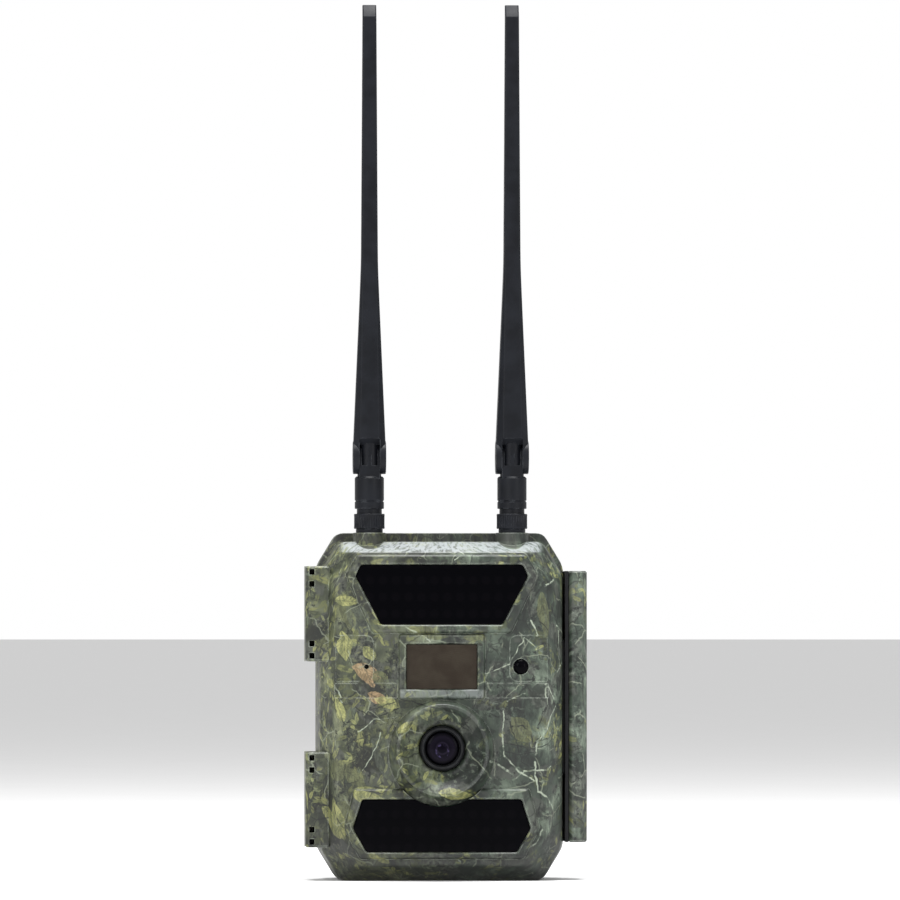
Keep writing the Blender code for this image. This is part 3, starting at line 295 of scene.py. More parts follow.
def combine(obj, steps):
    """Adds and takes away shapes in order, and removes the helpers."""
    helpers = []
    for operation, bm in steps:
        helpers.append(new_object("helper", bm))
        modifier = obj.modifiers.new(operation, "BOOLEAN")
        modifier.operation = operation
        modifier.object = helpers[-1]
    settle(obj)
    for made in helpers:
        bpy.data.meshes.remove(made.data)
    return obj


def add(bm):
    return "UNION", bm


def take(bm):
    return "DIFFERENCE", bm


def block(x0, x1, y0, y1, z0, z1, edge=0.0):
    bm = bmesh.new()
    bmesh.ops.create_cube(bm, size=1.0)
    size = Matrix.Diagonal((x1 - x0, y1 - y0, z1 - z0, 1.0))
    bm.transform(Matrix.Translation(((x0 + x1) / 2, (y0 + y1) / 2, (z0 + z1) / 2)) @ size)
    if edge:
        bmesh.ops.bevel(bm, geom=bm.edges[:], offset=edge, segments=3, profile=0.5, affect="EDGES")
    return bm


def together(*shapes):
    """Several shapes that don't touch, in one bmesh."""
    bm = bmesh.new()
    for shape in shapes:
        mesh = bpy.data.meshes.new("shape")
        shape.to_mesh(mesh)
        shape.free()
        bm.from_mesh(mesh)
        bpy.data.meshes.remove(mesh)
    return bm


def skin(rings, closed=False):
    bm = bmesh.new()
    made = [[bm.verts.new(point) for point in ring] for ring in rings]
    pairs = list(zip(made, made[1:]))
    if closed:
        pairs.append((made[-1], made[0]))
    for lower, upper in pairs:
        for i in range(len(lower)):
            j = (i + 1) % len(lower)
            bm.faces.new((lower[i], lower[j], upper[j], upper[i]))
    if not closed:
        bm.faces.new(made[0][::-1])
        bm.faces.new(made[-1])
    return bm


def bend(before, corner, after, reach, steps):
    """Points on a curve that rounds a corner off, starting and ending reach away from it."""
    corner = Vector(corner)
    back, on = Vector(before) - corner, Vector(after) - corner
    start = corner + back * min(0.48, reach / max(back.length, 1e-6))
    end = corner + on * min(0.48, reach / max(on.length, 1e-6))
    return [
        start * (1 - t) ** 2 + corner * 2 * t * (1 - t) + end * t**2
        for t in [step / steps for step in range(steps + 1)]
    ]


def rounded(outline, radius, steps=4):
    """A flat outline with its corners rounded. The number of points depends only on the number of corners."""
    points = []
    for i, corner in enumerate(outline):
        points += bend(outline[i - 1], corner, outline[(i + 1) % len(outline)], radius, steps)
    return [tuple(point) for point in points]


def soft_skin(rings, reach=0.6, steps=3):
    """Skins rings, with all but the first and last rounded off by one reach or by each ring's own."""
    rings = [[Vector(point) for point in ring] for ring in rings]
    reaches = reach if isinstance(reach, (list, tuple)) else [reach] * len(rings)
    result = [rings[0]]
    for i in range(1, len(rings) - 1):
        if not reaches[i]:
            result.append(rings[i])
            continue
        curves = [
            bend(rings[i - 1][j], rings[i][j], rings[i + 1][j], reaches[i], steps)
            for j in range(len(rings[i]))
        ]
        result += [[curve[k] for curve in curves] for k in range(steps + 1)]
    return skin(result + [rings[-1]])


def inset(outline, distance):
    """A convex outline moved inwards by a distance, side by side."""
    middle = sum((Vector(point) for point in outline), Vector((0, 0))) / len(outline)
    lines = []
    for i, point in enumerate(outline):
        start, end = Vector(point), Vector(outline[(i + 1) % len(outline)])
        along = (end - start).normalized()
        normal = Vector((-along.y, along.x))
        if normal.dot(middle - start) < 0:
            normal = -normal
        lines.append((start + normal * distance, along))
    moved = []
    for i in range(len(lines)):
        (p, d), (q, e) = lines[i - 1], lines[i]
        cross = d.x * e.y - d.y * e.x
        t = ((q - p).x * e.y - (q - p).y * e.x) / cross
        moved.append(tuple(p + d * t))
    return moved


def at_y(outline, y):
    return [(x, y, z) for x, z in outline]


def plate(outline, y0, y1, radius, edge):
    """A flat plate facing -Y with rounded corners and softened edges on both faces."""
    shapes = [inset(outline, edge * 2), outline, outline, inset(outline, edge * 2)]
    heights = [y0, y0, y1, y1]
    rings = [at_y(rounded(shape, radius), y) for shape, y in zip(shapes, heights)]
    return soft_skin(rings, [0, edge, edge, 0])


def opening(outline, y0, y1, radius=1.4):
    return skin([at_y(rounded(outline, radius), y0), at_y(rounded(outline, radius), y1)])


TURN = {
    "X": Matrix.Rotation(math.radians(90), 4, "Y"),
    "Y": Matrix.Rotation(math.radians(-90), 4, "X"),
    "Z": Matrix.Identity(4),
}


def lathe(profile, place, axis="Y", sides=64, radius_at=None):
    """Spins (radius, height) points round an axis. A profile that ends off the axis makes a ring.

    radius_at(radius, height, angle) can change a point's radius on its way round.
    """
    rings = []
    for radius, height in profile:
        ring = []
        for i in range(sides):
            angle = 2 * math.pi * i / sides
            far = radius_at(radius, height, angle) if radius_at else radius
            ring.append(Vector((far * math.cos(angle), far * math.sin(angle), height)))
        rings.append(ring)
    bm = skin(rings, closed=profile[0][0] > 0 and profile[-1][0] > 0)
    bmesh.ops.remove_doubles(bm, verts=bm.verts, dist=1e-5)
    bm.transform(Matrix.Translation(place) @ TURN[axis])
    return bm


def smooth_profile(points, reach, steps=3):
    """A profile with its inner corners rounded."""
    result = [points[0]]
    for i in range(1, len(points) - 1):
        result += [tuple(p) for p in bend(points[i - 1], points[i], points[i + 1], reach, steps)]
    return result + [points[-1]]


def rod(axis, middle, radius, length, sides=32):
    steps = [2 * math.pi * i / sides for i in range(sides)]
    bm = skin([
        [(radius * math.cos(angle), radius * math.sin(angle), level) for angle in steps]
        for level in (-length / 2, length / 2)
    ])
    bm.transform(Matrix.Translation(middle) @ TURN[axis])
    return bm


def prism(outline, axis, start, end, radius=0.0):
    order = {"X": (2, 0, 1), "Y": (0, 2, 1), "Z": (0, 1, 2)}[axis]
    shape = rounded(outline, radius) if radius else outline
    return skin([[[(a, b, level)[i] for i in order] for a, b in shape] for level in (start, end)])


def soft_prism(outline, axis, start, end, radius=0.8, edge=0.5):
    """A prism with rounded corners and chamfered ends."""
    order = {"X": (2, 0, 1), "Y": (0, 2, 1), "Z": (0, 1, 2)}[axis]
    shapes = [inset(outline, edge), outline, outline, inset(outline, edge)]
    levels = [start, start + edge, end - edge, end]
    return skin([
        [[(a, b, level)[i] for i in order] for a, b in rounded(shape, radius, 4)]
        for shape, level in zip(shapes, levels)
    ])


def arc(middle, radius, start, end, steps):
    points = []
    for i in range(steps + 1):
        angle = math.radians(start + (end - start) * i / steps)
        points.append((middle[0] + radius * math.cos(angle), middle[1] + radius * math.sin(angle)))
    return points


def octagon(half_w, low, high, corner_w=8.5, corner_h=14.0):
    right = [
        (half_w - corner_w, low),
        (half_w, low + corner_h),
        (half_w, high - corner_h),
        (half_w - corner_w, high),
    ]
    return right + [(-x, z) for x, z in reversed(right)]


def six_sided(heights, halves):
    right = [(half, height) for half, height in zip(halves, heights)]
    return right + [(-x, z) for x, z in reversed(right)]


# ---------------------------------------------------------------- printed camouflage


def group(name, inputs, build):
    """A node group with one output. build gets its maker and its inputs, and returns what goes out."""
    tree = bpy.data.node_groups.new(name, "ShaderNodeTree")
    for label, kind in inputs.items():
        tree.interface.new_socket(label, in_out="INPUT", socket_type=kind)
    tree.interface.new_socket("Mask", in_out="OUTPUT", socket_type="NodeSocketFloat")
    maker = Maker(tree)
    entry = maker.node("NodeGroupInput")
    leave = maker.node("NodeGroupOutput")
    maker.plug(leave.inputs[0], build(maker, entry.outputs))
    return tree


def from_start(maker, inputs):
    """The place measured from Start. It waits for Before, because Cycles holds only a few values at once."""
    waiting = maker.vector("ADD", inputs["Place"], maker.scaled((1e-6, 0.0, 0.0), inputs["Before"]))
    return maker.vector("SUBTRACT", waiting, inputs["Start"])


def twig_mask(maker, inputs):
    """1 along the line from Start to End, narrowing towards End, added to Before."""
    along = maker.vector("SUBTRACT", inputs["End"], inputs["Start"])
    out = from_start(maker, inputs)
    share = maker.math("DIVIDE", maker.dot(out, along), maker.dot(along, along), clamp=True)
    nearest = maker.scaled(along, share)
    away = maker.length(maker.vector("SUBTRACT", out, nearest))
    half = maker.math("MULTIPLY", inputs["Width"], maker.math("MULTIPLY_ADD", share, -0.2, 0.5))
    inner = maker.math("MULTIPLY", half, 0.35)
    return maker.math("MAXIMUM", inputs["Before"], maker.step(away, inner, half, 1.0, 0.0))


def leaf_mask(maker, inputs):
    """A leaf from Start to End, laid over Before: 1 inside, less on its veins, and 0 outside."""
    along = maker.vector("SUBTRACT", inputs["End"], inputs["Start"])
    out = from_start(maker, inputs)
    size = maker.dot(along, along)
    share = maker.math("DIVIDE", maker.dot(out, along), size, clamp=True)
    away = maker.length(maker.vector("SUBTRACT", out, maker.scaled(along, share)))
    belly = maker.math("MULTIPLY", share, maker.math("SUBTRACT", 1.0, share))
    half = maker.math("MULTIPLY", inputs["Width"], maker.math("MULTIPLY", belly, 2.0))
    inside = maker.step(away, maker.math("SUBTRACT", half, 0.25), half, 1.0, 0.0)
    length = maker.math("SQRT", size)
    chevron = maker.math("SUBTRACT", maker.math("MULTIPLY", share, length), away)
    side_veins = maker.step(maker.math("PINGPONG", chevron, 0.8), 0.1, 0.25, 0.35, 0.0)
    middle_vein = maker.step(away, 0.12, 0.3, 0.45, 0.0)
    veins = maker.math("SUBTRACT", 1.0, maker.math("MAXIMUM", side_veins, middle_vein))
    behind = maker.math("MULTIPLY", inputs["Before"], maker.math("SUBTRACT", 1.0, inside))
    return maker.math("MULTIPLY_ADD", inside, veins, behind)


LINE = {
    "Place": "NodeSocketVector",
    "Start": "NodeSocketVector",
    "End": "NodeSocketVector",
    "Width": "NodeSocketFloat",
    "Before": "NodeSocketFloat",
}
TWIG = group("twig", LINE, twig_mask)
LEAF = group("leaf", LINE, leaf_mask)

# Places on the printed film, as (across, up) in mm from the case's middle and its base.
PALE_TWIGS = (
    (1.3, (53, 73), (47.7, 68.1), (44.7, 64.1), (40.7, 59.2), (39.3, 53)),
    (1.2, (38.8, 50), (39.3, 43.7), (40.7, 37.8), (46.2, 32.8), (50.7, 26.8)),
    (1.1, (25.8, 71), (25.3, 61.1), (26.1, 52.2), (32.8, 45.7), (38.8, 41.7)),
    (1.4, (18.8, 51.4), (23, 49.2), (29, 45.2)),
    (1.1, (34.3, 46.2), (48.7, 46.4)),
    (0.8, (30, 42.3), (34.5, 46)),
    (1.3, (44.3, 82.5), (52, 76.4)),
    (0.9, (44.5, 82), (44.2, 74)),
    (0.8, (35.7, 78.7), (27.5, 75)),
    (0.9, (34.8, 102.4), (30.4, 93.7), (29, 91.5), (18, 86)),
    (0.8, (34.8, 102.4), (40.6, 97.1)),
    (1.1, (52.5, 131.5), (47.3, 126.9), (43, 123.5)),
    (0.9, (37.7, 109.2), (40.2, 103)),
    (0.9, (42.2, 21.4), (39.6, 16.4), (34, 11)),
    (0.8, (-35, 62.6), (-28.2, 67.4), (-18.3, 69)),
    (0.7, (-26, 62), (-29, 52), (-33, 46)),
    (1.0, (-46, 82), (-41.5, 74.5)),
    (0.8, (5, 132), (9, 137), (6, 143)),
    (0.9, (-14, 105), (-4, 99)),
    (1.2, (54.1, 112.1), (57.5, 113), (61, 112.3)),
    (0.9, (56.6, 111), (57.5, 93.7), (61, 97)),
    (1.0, (61, 97), (55.1, 90)),
    (0.8, (4.4, 12), (8, 7)),
)
DARK_TWIGS = (
    (0.8, (28.8, 64.9), (33.8, 64.9), (37.3, 62.6), (38.8, 57)),
    (0.7, (25.8, 57.7), (38.3, 55.4), (50, 58)),
    (0.6, (26, 54.5), (33, 52.8), (38.5, 54)),
    (0.8, (28.3, 67.1), (33.8, 50.2), (38.5, 46)),
    (1.1, (39.8, 58), (39.6, 46), (41.6, 35), (40.6, 28)),
    (1.3, (43, 125.5), (40, 121.5), (38.3, 116.5)),
    (0.9, (36.2, 116.5), (37.7, 110.6), (45.5, 105.5)),
    (0.8, (40.5, 64.5), (45.4, 76.5)),
    (0.9, (-18, 72.5), (-29, 68), (-36, 73)),
    (0.8, (-46, 73), (-38, 62), (-36, 58)),
    (0.8, (-20, 77), (-10, 74.5), (6, 70.5), (12, 62.5)),
    (0.9, (-46, 30), (-39.5, 20), (-30, 14)),
    (0.9, (47, 60), (52, 62)),
    (0.8, (58.5, 129), (57, 124)),
)
LEAVES = (
    (7.5, (-38.5, 90.5), (-25.5, 85.0), "tan"),
    (6.0, (-29.5, 88.0), (-22.0, 82.0), "olive"),
    (5.0, (-34.0, 92.0), (-29.0, 81.0), "tan"),
    (5.0, (-32.0, 79.0), (-23.5, 74.8), "tan"),
    (4.5, (-44.6, 77.5), (-41.0, 66.0), "yellow"),
    (5.0, (-28.5, 76.6), (-17.0, 73.0), "yellow"),
    (4.0, (-18.5, 62.5), (-10.5, 67.5), "yellow"),
    (7.0, (-55.0, 27.0), (-42.0, 17.5), "yellow"),
    (7.0, (-47.5, 34.0), (-40.5, 17.0), "yellow"),
    (7.5, (-44.5, 33.0), (-32.5, 25.5), "olive"),
    (5.5, (-41.0, 47.5), (-31.5, 38.5), "olive"),
    (5.5, (-37.0, 38.4), (-22.0, 35.5), "yellow"),
    (6.0, (-58.0, 101.5), (-44.0, 106.5), "olive"),
    (6.0, (-45.0, 121.5), (-37.5, 106.0), "olive"),
    (5.0, (-46.0, 118.0), (-34.5, 117.0), "yellow"),
    (7.0, (-42.0, 105.0), (-40.5, 92.5), "yellow"),
    (5.0, (-33.5, 99.0), (-27.5, 92.5), "yellow"),
    (5.0, (-54.0, 86.0), (-46.0, 82.0), "yellow"),
    (4.5, (-29.0, 13.5), (-22.0, 7.5), "yellow"),
    (8.0, (-50.0, 42.0), (-38.0, 50.0), "olive"),
    (6.0, (41.5, 122.0), (45.0, 101.5), "olive"),
    (9.0, (29.0, 69.0), (37.5, 58.0), "olive"),
    (5.0, (-14.0, 104.5), (3.0, 100.5), "olive"),
    (4.5, (8.0, 100.0), (19.0, 102.0), "olive"),
    (5.5, (-2.0, 40.0), (13.0, 36.0), "yellow"),
    (9.0, (-29.5, 60.0), (-19.0, 51.0), "grey"),
    (10.0, (-28.0, 56.0), (-16.0, 41.0), "grey"),
    (9.0, (-40.5, 115.0), (-28.0, 104.0), "grey"),
    (8.0, (-25.0, 84.0), (-16.0, 78.0), "grey"),
    (9.0, (-15.0, 68.0), (2.0, 71.0), "grey"),
)
# Size of a cell, half length, half width, seed and strength of each layer of scattered leaves.
LEAF_LAYERS = ((7.0, 5.2, 1.5, 1.0, 0.6), (5.0, 3.6, 1.0, 2.0, 0.7), (3.4, 2.4, 0.7, 3.0, 0.75))
LEAF_COLOURS = {
    "tan": ((184, 160, 120), (158, 138, 98)),
    "olive": ((130, 134, 96), (106, 110, 78)),
    "yellow": ((180, 180, 118), (142, 146, 96)),
    "grey": ((124, 132, 118), (108, 114, 104)),
}


def scattered(shader, flat, size, length, width, seed):
    """Leaves scattered one to a cell: a mask, and each leaf's own random number."""
    moved = shader.vector("ADD", flat, (seed * 37.0, seed * 19.0, 0.0))
    cells = shader.cells(moved, size)
    out = shader.vector("SUBTRACT", moved, cells["Position"])
    x, y, _ = shader.parts(out)
    chance, turn, shade = shader.parts(cells["Color"])
    angle = shader.math("MULTIPLY", turn, 6.2832)
    sine, cosine = shader.math("SINE", angle), shader.math("COSINE", angle)
    along = shader.math("ADD", shader.math("MULTIPLY", x, cosine), shader.math("MULTIPLY", y, sine))
    across = shader.math("SUBTRACT", shader.math("MULTIPLY", y, cosine), shader.math("MULTIPLY", x, sine))
    across = shader.math("ABSOLUTE", across)
    share = shader.math("DIVIDE", along, length)
    belly = shader.math("SUBTRACT", 1.0, shader.math("MULTIPLY", share, share))
    half = shader.math("MULTIPLY", belly, width)
    inside = shader.step(shader.math("SUBTRACT", half, across), 0.0, width * 0.22)
    vein = shader.step(across, width * 0.06, width * 0.16, 0.55, 1.0)
    return shader.math("MULTIPLY", inside, vein), chance, shade


def camouflage(name, front_y, sign, roughness, bark, depth):
    """Printed film: soft patches, leaves and twigs, unrolled over the sides so that nothing smears."""
    film = Shader(name, roughness)
    x, y, z = film.parts(film.place)
    x = film.math("SUBTRACT", x, CX)
    behind = film.math("MULTIPLY", film.math("SUBTRACT", y, front_y), sign)
    to_side = film.step(x, -40.0, 40.0, -1.0, 1.0)
    to_top = film.step(z, 25.0, 121.0, -1.0, 1.0)
    across = film.math("MULTIPLY_ADD", to_side, behind, x)
    up = film.math("MULTIPLY_ADD", to_top, behind, z)
    flat = film.join(across, up)
    if bark:
        flat = film.vector("ADD", flat, (bark, 23.0, 0.0))
    wobble = film.vector("SUBTRACT", film.noise(flat, 7.0, 3.0, 0.6, "Color", flat=True), (0.5, 0.5, 0.5))
    bent = film.vector("MULTIPLY_ADD", wobble, (3.2, 3.2, 0.0), flat)
    hardly = film.vector("MULTIPLY_ADD", wobble, (2.4, 2.4, 0.0), flat)
    left = film.step(across, 18.0, -30.0)

    # Soft background, warmer on the left and greener on the right.
    large = film.noise(bent, 19.0, 2.5, 0.55, flat=True)
    cool = film.ramp(
        large,
        (0.33, srgb(56, 66, 58)), (0.44, srgb(76, 88, 77)),
        (0.55, srgb(96, 108, 95)), (0.68, srgb(128, 139, 125)),
    )
    warm = film.ramp(
        large,
        (0.33, srgb(60, 64, 50)), (0.44, srgb(84, 90, 72)),
        (0.55, srgb(104, 110, 88)), (0.68, srgb(134, 138, 112)),
    )
    colour = film.mix(left, cool, warm)
    grey = film.step(film.noise(film.vector("ADD", bent, (80, 40, 0)), 11.0, 1.5, 0.5, flat=True), 0.53, 0.6)
    colour = film.mix(film.math("MULTIPLY", grey, 0.75), colour, srgb(104, 107, 100))
    deep = film.step(film.noise(film.vector("ADD", bent, (10, 90, 0)), 8.0, 4.0, 0.62, flat=True), 0.53, 0.62)
    colour = film.mix(film.math("MULTIPLY", deep, 0.62), colour, srgb(52, 60, 52))

    # Bark grain and small dark and pale litter.
    grain_place = film.vector("MULTIPLY", bent, (1.0, 0.35, 1.0))
    grain = film.noise(grain_place, 1.6, 5.0, 0.68, flat=True)
    shade = film.ramp(
        grain, (0.3, (0.25, 0.25, 0.25, 1)), (0.5, (0.5, 0.5, 0.5, 1)), (0.72, (0.82, 0.82, 0.8, 1))
    )
    strength = film.step(
        film.noise(flat, 16.0, 2.0, 0.5, flat=True), 0.4, 0.58, 0.18 + 0.5 * bool(bark), 0.85
    )
    colour = film.mix(strength, colour, shade, "OVERLAY")
    litter = film.noise(bent, 2.1, 4.0, 0.7, flat=True)
    busy = film.step(film.noise(film.vector("ADD", flat, (30, 10, 0)), 13.0, 2.0, 0.5, flat=True), 0.46, 0.58)
    dark_bits = film.math("MULTIPLY", film.step(litter, 0.56, 0.62), busy)
    pale_bits = film.math("MULTIPLY", film.step(litter, 0.42, 0.37), busy)
    colour = film.mix(film.math("MULTIPLY", dark_bits, 0.8), colour, srgb(38, 44, 38))
    colour = film.mix(
        film.math("MULTIPLY", pale_bits, 0.5), colour,
        film.mix(left, srgb(140, 150, 136), srgb(150, 152, 116)),
    )

    # Leaves, mostly on the left.
    clumps = film.noise(film.vector("ADD", flat, (55, 5, 0)), 15.0, 2.0, 0.5, flat=True)
    leafy = film.math("MULTIPLY_ADD", left, 0.13, clumps)
    for size, length, width, seed, most in LEAF_LAYERS:
        inside, chance, tone = scattered(film, hardly, size, length, width, seed)
        shown = film.math("MULTIPLY", inside, film.step(leafy, 0.53, 0.63))
        shown = film.math("MULTIPLY", shown, film.step(grain, 0.34, 0.5))
        shown = film.math("MULTIPLY", shown, film.step(chance, 0.25, 0.3))
        hue = film.ramp(
            tone, (0.0, srgb(70, 78, 58)), (0.35, srgb(112, 118, 78)), (0.6, srgb(146, 148, 92)),
            (0.8, srgb(170, 172, 112)), (0.95, srgb(120, 130, 112)),
        )
        colour = film.mix(film.math("MULTIPLY", shown, most), colour, hue)
    if not bark:
        for kind, (one, other) in LEAF_COLOURS.items():
            lines = [(width, start, end) for width, start, end, named in LEAVES if named == kind]
            most = 0.5 if kind == "grey" else 0.78
            tone = film.mix(film.step(grain, 0.4, 0.6), srgb(*other), srgb(*one))
            colour = film.mix(film.math("MULTIPLY", film.drawn(LEAF, lines, hardly), most), colour, tone)

    # A net of fine twigs, then the larger ones.
    net = film.cells(bent, 10.0, "DISTANCE_TO_EDGE")["Distance"]
    net_line = film.step(net, 0.012, 0.04, 1.0, 0.0)
    some = film.step(film.noise(film.vector("ADD", flat, (5, 70, 0)), 12.0, 1.0, 0.5, flat=True), 0.5, 0.56)
    colour = film.mix(
        film.math("MULTIPLY", film.math("MULTIPLY", net_line, some), 0.55), colour, srgb(44, 50, 44)
    )
    second = film.cells(film.vector("ADD", bent, (41, 13, 0)), 13.0, "DISTANCE_TO_EDGE")["Distance"]
    second_line = film.step(second, 0.008, 0.03, 1.0, 0.0)
    others = film.step(
        film.noise(film.vector("ADD", flat, (65, 30, 0)), 12.0, 1.0, 0.5, flat=True), 0.5, 0.56
    )
    colour = film.mix(
        film.math("MULTIPLY", film.math("MULTIPLY", second_line, others), 0.6), colour, srgb(158, 164, 146)
    )
    peeling = film.step(film.noise(flat, 3.2, 3.0, 0.6, flat=True), 0.36, 0.56, 0.25, 1.0)
    for twigs, tone, most in ((DARK_TWIGS, (40, 46, 40), 0.85), (PALE_TWIGS, (182, 190, 174), 0.8)):
        lines = [(width, *ends) for width, *points in twigs for ends in zip(points, points[1:])]
        mask = film.math("MULTIPLY", film.drawn(TWIG, lines, hardly), film.math("MULTIPLY", peeling, most))
        colour = film.mix(mask, colour, srgb(*tone))

    # The sloping top, round the antennas' bosses, and the sensor's sill get a painted highlight:
    # a pale sheen laid into the print where the overhead light falls on these up-facing slopes.
    if name == "camo_front":
        painted_sheen = film.math("MULTIPLY", film.step(z, 137.3, 138.2), film.step(z, 142.6, 141.9))
        painted_sheen = film.math("MULTIPLY", painted_sheen, film.step(film.math("ABSOLUTE", x), 43.5, 40.5))
        from_boss = film.math("ABSOLUTE", film.math("SUBTRACT", film.math("ABSOLUTE", x), 30.0))
        boss = film.length(film.join(from_boss, film.math("SUBTRACT", z, 146.2)))
        painted_sheen = film.math("MULTIPLY", painted_sheen, film.step(boss, 6.9, 7.3))
        painted_sheen = film.math("MULTIPLY", painted_sheen, film.step(y, SHOULDER_Y + 1.5, SHOULDER_Y + 0.5))
        sill_sheen = film.math(
            "MULTIPLY",
            film.step(z, PIR.z - 13.6, PIR.z - 13.2), film.step(z, PIR.z - 9.3, PIR.z - 9.7),
        )
        sill_sheen = film.math("MULTIPLY", sill_sheen, film.step(film.math("ABSOLUTE", x), 18.0, 17.0, 0.0, 0.5))
        painted_sheen = film.math(
            "MULTIPLY", film.math("MAXIMUM", painted_sheen, sill_sheen), film.step(grain, 0.64, 0.46, 0.25, 0.88)
        )
        # Painted highlight: the sheen's pale colour over the print.
        colour = film.mix(painted_sheen, colour, srgb(176, 181, 182))

    # Painted shade darkens the print towards the foot and on the rear band above the sloping top. Edges get a
    # painted highlight.
    # Painted shade: darker towards the bottom, down to 0.62 at the base.
    foot = film.step(z, 2.0, 46.0, 0.62, 1.0)
    # Painted shade: the rear band above z 142.2 is darkened to 0.72.
    band = film.step(z, 142.2, 142.8, 1.0, 0.72)
    colour = film.mix(1.0, colour, film.grey(film.math("MULTIPLY", foot, band)), "MULTIPLY")
    # Painted highlight: edges lightened towards pale grey, broken up by noise.
    colour = film.mix(film.math("MULTIPLY", film.edges(0.7, 0.34, 0.56), 0.56), colour, srgb(196, 202, 192))
    film.colour(film.deepened(colour, depth, 0.82))
    film.rough(film.step(film.noise(film.place, 5.0, 4.0), 0.3, 0.7, roughness - 0.07, roughness + 0.09))
    film.bump(film.noise(film.place, 0.35, 2.0), 0.012)
    film.bump(film.noise(film.place, 9.0, 2.0), 0.05)
    return film.material


# ---------------------------------------------------------------- the other materials


def moulded(name, colour, roughness, grain=0.3, grain_depth=0.02, worn=(96, 98, 100), **sockets):
    """Moulded plastic with a fine spark-eroded grain, faint smudges and rubbed edges."""
    shader = Shader(name, roughness, **sockets)
    smudge = shader.noise(shader.place, 9.0, 3.0)
    tone = shader.mix(
        shader.step(smudge, 0.3, 0.7),
        srgb(*[c * 0.86 for c in colour]), srgb(*[c * 1.12 for c in colour]),
    )
    shader.colour(shader.mix(shader.math("MULTIPLY", shader.edges(0.35), 0.35), tone, srgb(*worn)))
    shader.rough(shader.step(smudge, 0.3, 0.7, roughness - 0.06, roughness + 0.08))
    shader.bump(shader.noise(shader.place, grain, 2.0, 0.6), grain_depth)
    return shader.material


def metal(name, colour, roughness, brushed=(1.0, 1.0, 0.08)):
    shader = Shader(name, roughness, 1.0)
    lines = shader.noise(shader.vector("MULTIPLY", shader.place, brushed), 0.25, 3.0)
    stain = shader.noise(shader.place, 4.0, 4.0)
    shader.colour(shader.mix(shader.step(stain, 0.4, 0.7), srgb(*colour), srgb(*[c * 0.8 for c in colour])))
    shader.rough(shader.step(lines, 0.3, 0.7, roughness - 0.08, roughness + 0.12))
    shader.bump(lines, 0.01)
    return shader.material


def make_window_material():
    """Gloss filter plastic, nearly black, with faint waviness, dust and a hint of the emitters behind."""
    shader = Shader("filter_window", 0.16, Specular_IOR_Level=0.03)
    x, _, z = shader.parts(shader.place)
    row = shader.math("PINGPONG", z, 3.5)
    column = shader.math("PINGPONG", x, 2.7)
    spot = shader.math(
        "SQRT",
        shader.math("ADD", shader.math("MULTIPLY", row, row), shader.math("MULTIPLY", column, column)),
    )
    hint = shader.math("MULTIPLY", shader.step(spot, 1.5, 2.2, 1.0, 0.0), 0.5)
    shader.colour(shader.mix(hint, srgb(3, 3, 5), srgb(7, 6, 9)))
    dust = shader.step(shader.noise(shader.place, 0.8, 5.0, 0.7), 0.62, 0.75)
    shader.rough(shader.math("MULTIPLY_ADD", dust, 0.3, 0.14))
    shader.bump(shader.noise(shader.place, 12.0, 1.0), 0.04)
    return shader.material


def make_film_material():
    """The sensor's moulded film: dull brown, with the fine lens rings showing through."""
    shader = Shader("sensor_film", 0.5, Specular_IOR_Level=0.1)
    x, _, z = shader.parts(shader.vector("SUBTRACT", shader.place, tuple(PIR)))
    column = shader.math("SUBTRACT", shader.math("PINGPONG", shader.math("ADD", x, 50.0), 4.9), 2.45)
    radius = shader.length(shader.join(column, z))
    rings = shader.math("PINGPONG", radius, 0.45)
    shade = shader.noise(shader.place, 7.0, 2.0)
    tone = shader.mix(shader.step(shade, 0.3, 0.7), srgb(43, 36, 29), srgb(52, 46, 38))
    shader.colour(shader.mix(shader.step(rings, 0.0, 0.45, 0.16, 0.0), tone, srgb(40, 34, 30)))
    shader.bump(rings, 0.05)
    shader.bump(shader.noise(shader.place, 0.4, 2.0), 0.015)
    return shader.material


def make_glass_material():
    """The coated front element. It is dark inside, so an opaque coated surface stands for it, with a painted
    crescent reflection on its coating.
    """
    shader = Shader("coated_glass", 0.05, Specular_IOR_Level=0.03)
    place = shader.vector("SUBTRACT", shader.place, (LENS.x, LENS.y, LENS.z))
    x, _, z = shader.parts(place)
    radius = shader.length(shader.join(x, z))
    low = shader.length(shader.join(x, shader.math("ADD", z, 1.1)))
    tone = shader.ramp(
        shader.math("DIVIDE", radius, 7.0),
        (0.0, srgb(8, 5, 14)), (0.26, srgb(12, 10, 18)), (0.34, srgb(30, 26, 38)), (0.42, srgb(14, 12, 20)),
        (0.7, srgb(22, 19, 28)), (0.84, srgb(12, 11, 16)), (1.0, srgb(4, 4, 6)),
    )
    glint = shader.step(shader.noise(place, 1.6, 2.0), 0.45, 0.62)
    # Painted reflection: a purple crescent low on the element, broken up by noise.
    reflection_crescent = shader.math("MULTIPLY", shader.step(low, 2.0, 2.4), shader.step(low, 3.1, 2.7))
    shader.colour(shader.mix(
        shader.math("MULTIPLY", shader.math("MULTIPLY", reflection_crescent, glint), 0.5), tone, srgb(74, 66, 100)
    ))
    shader.bump(shader.noise(place, 3.0, 1.0), 0.01)
    return shader.material


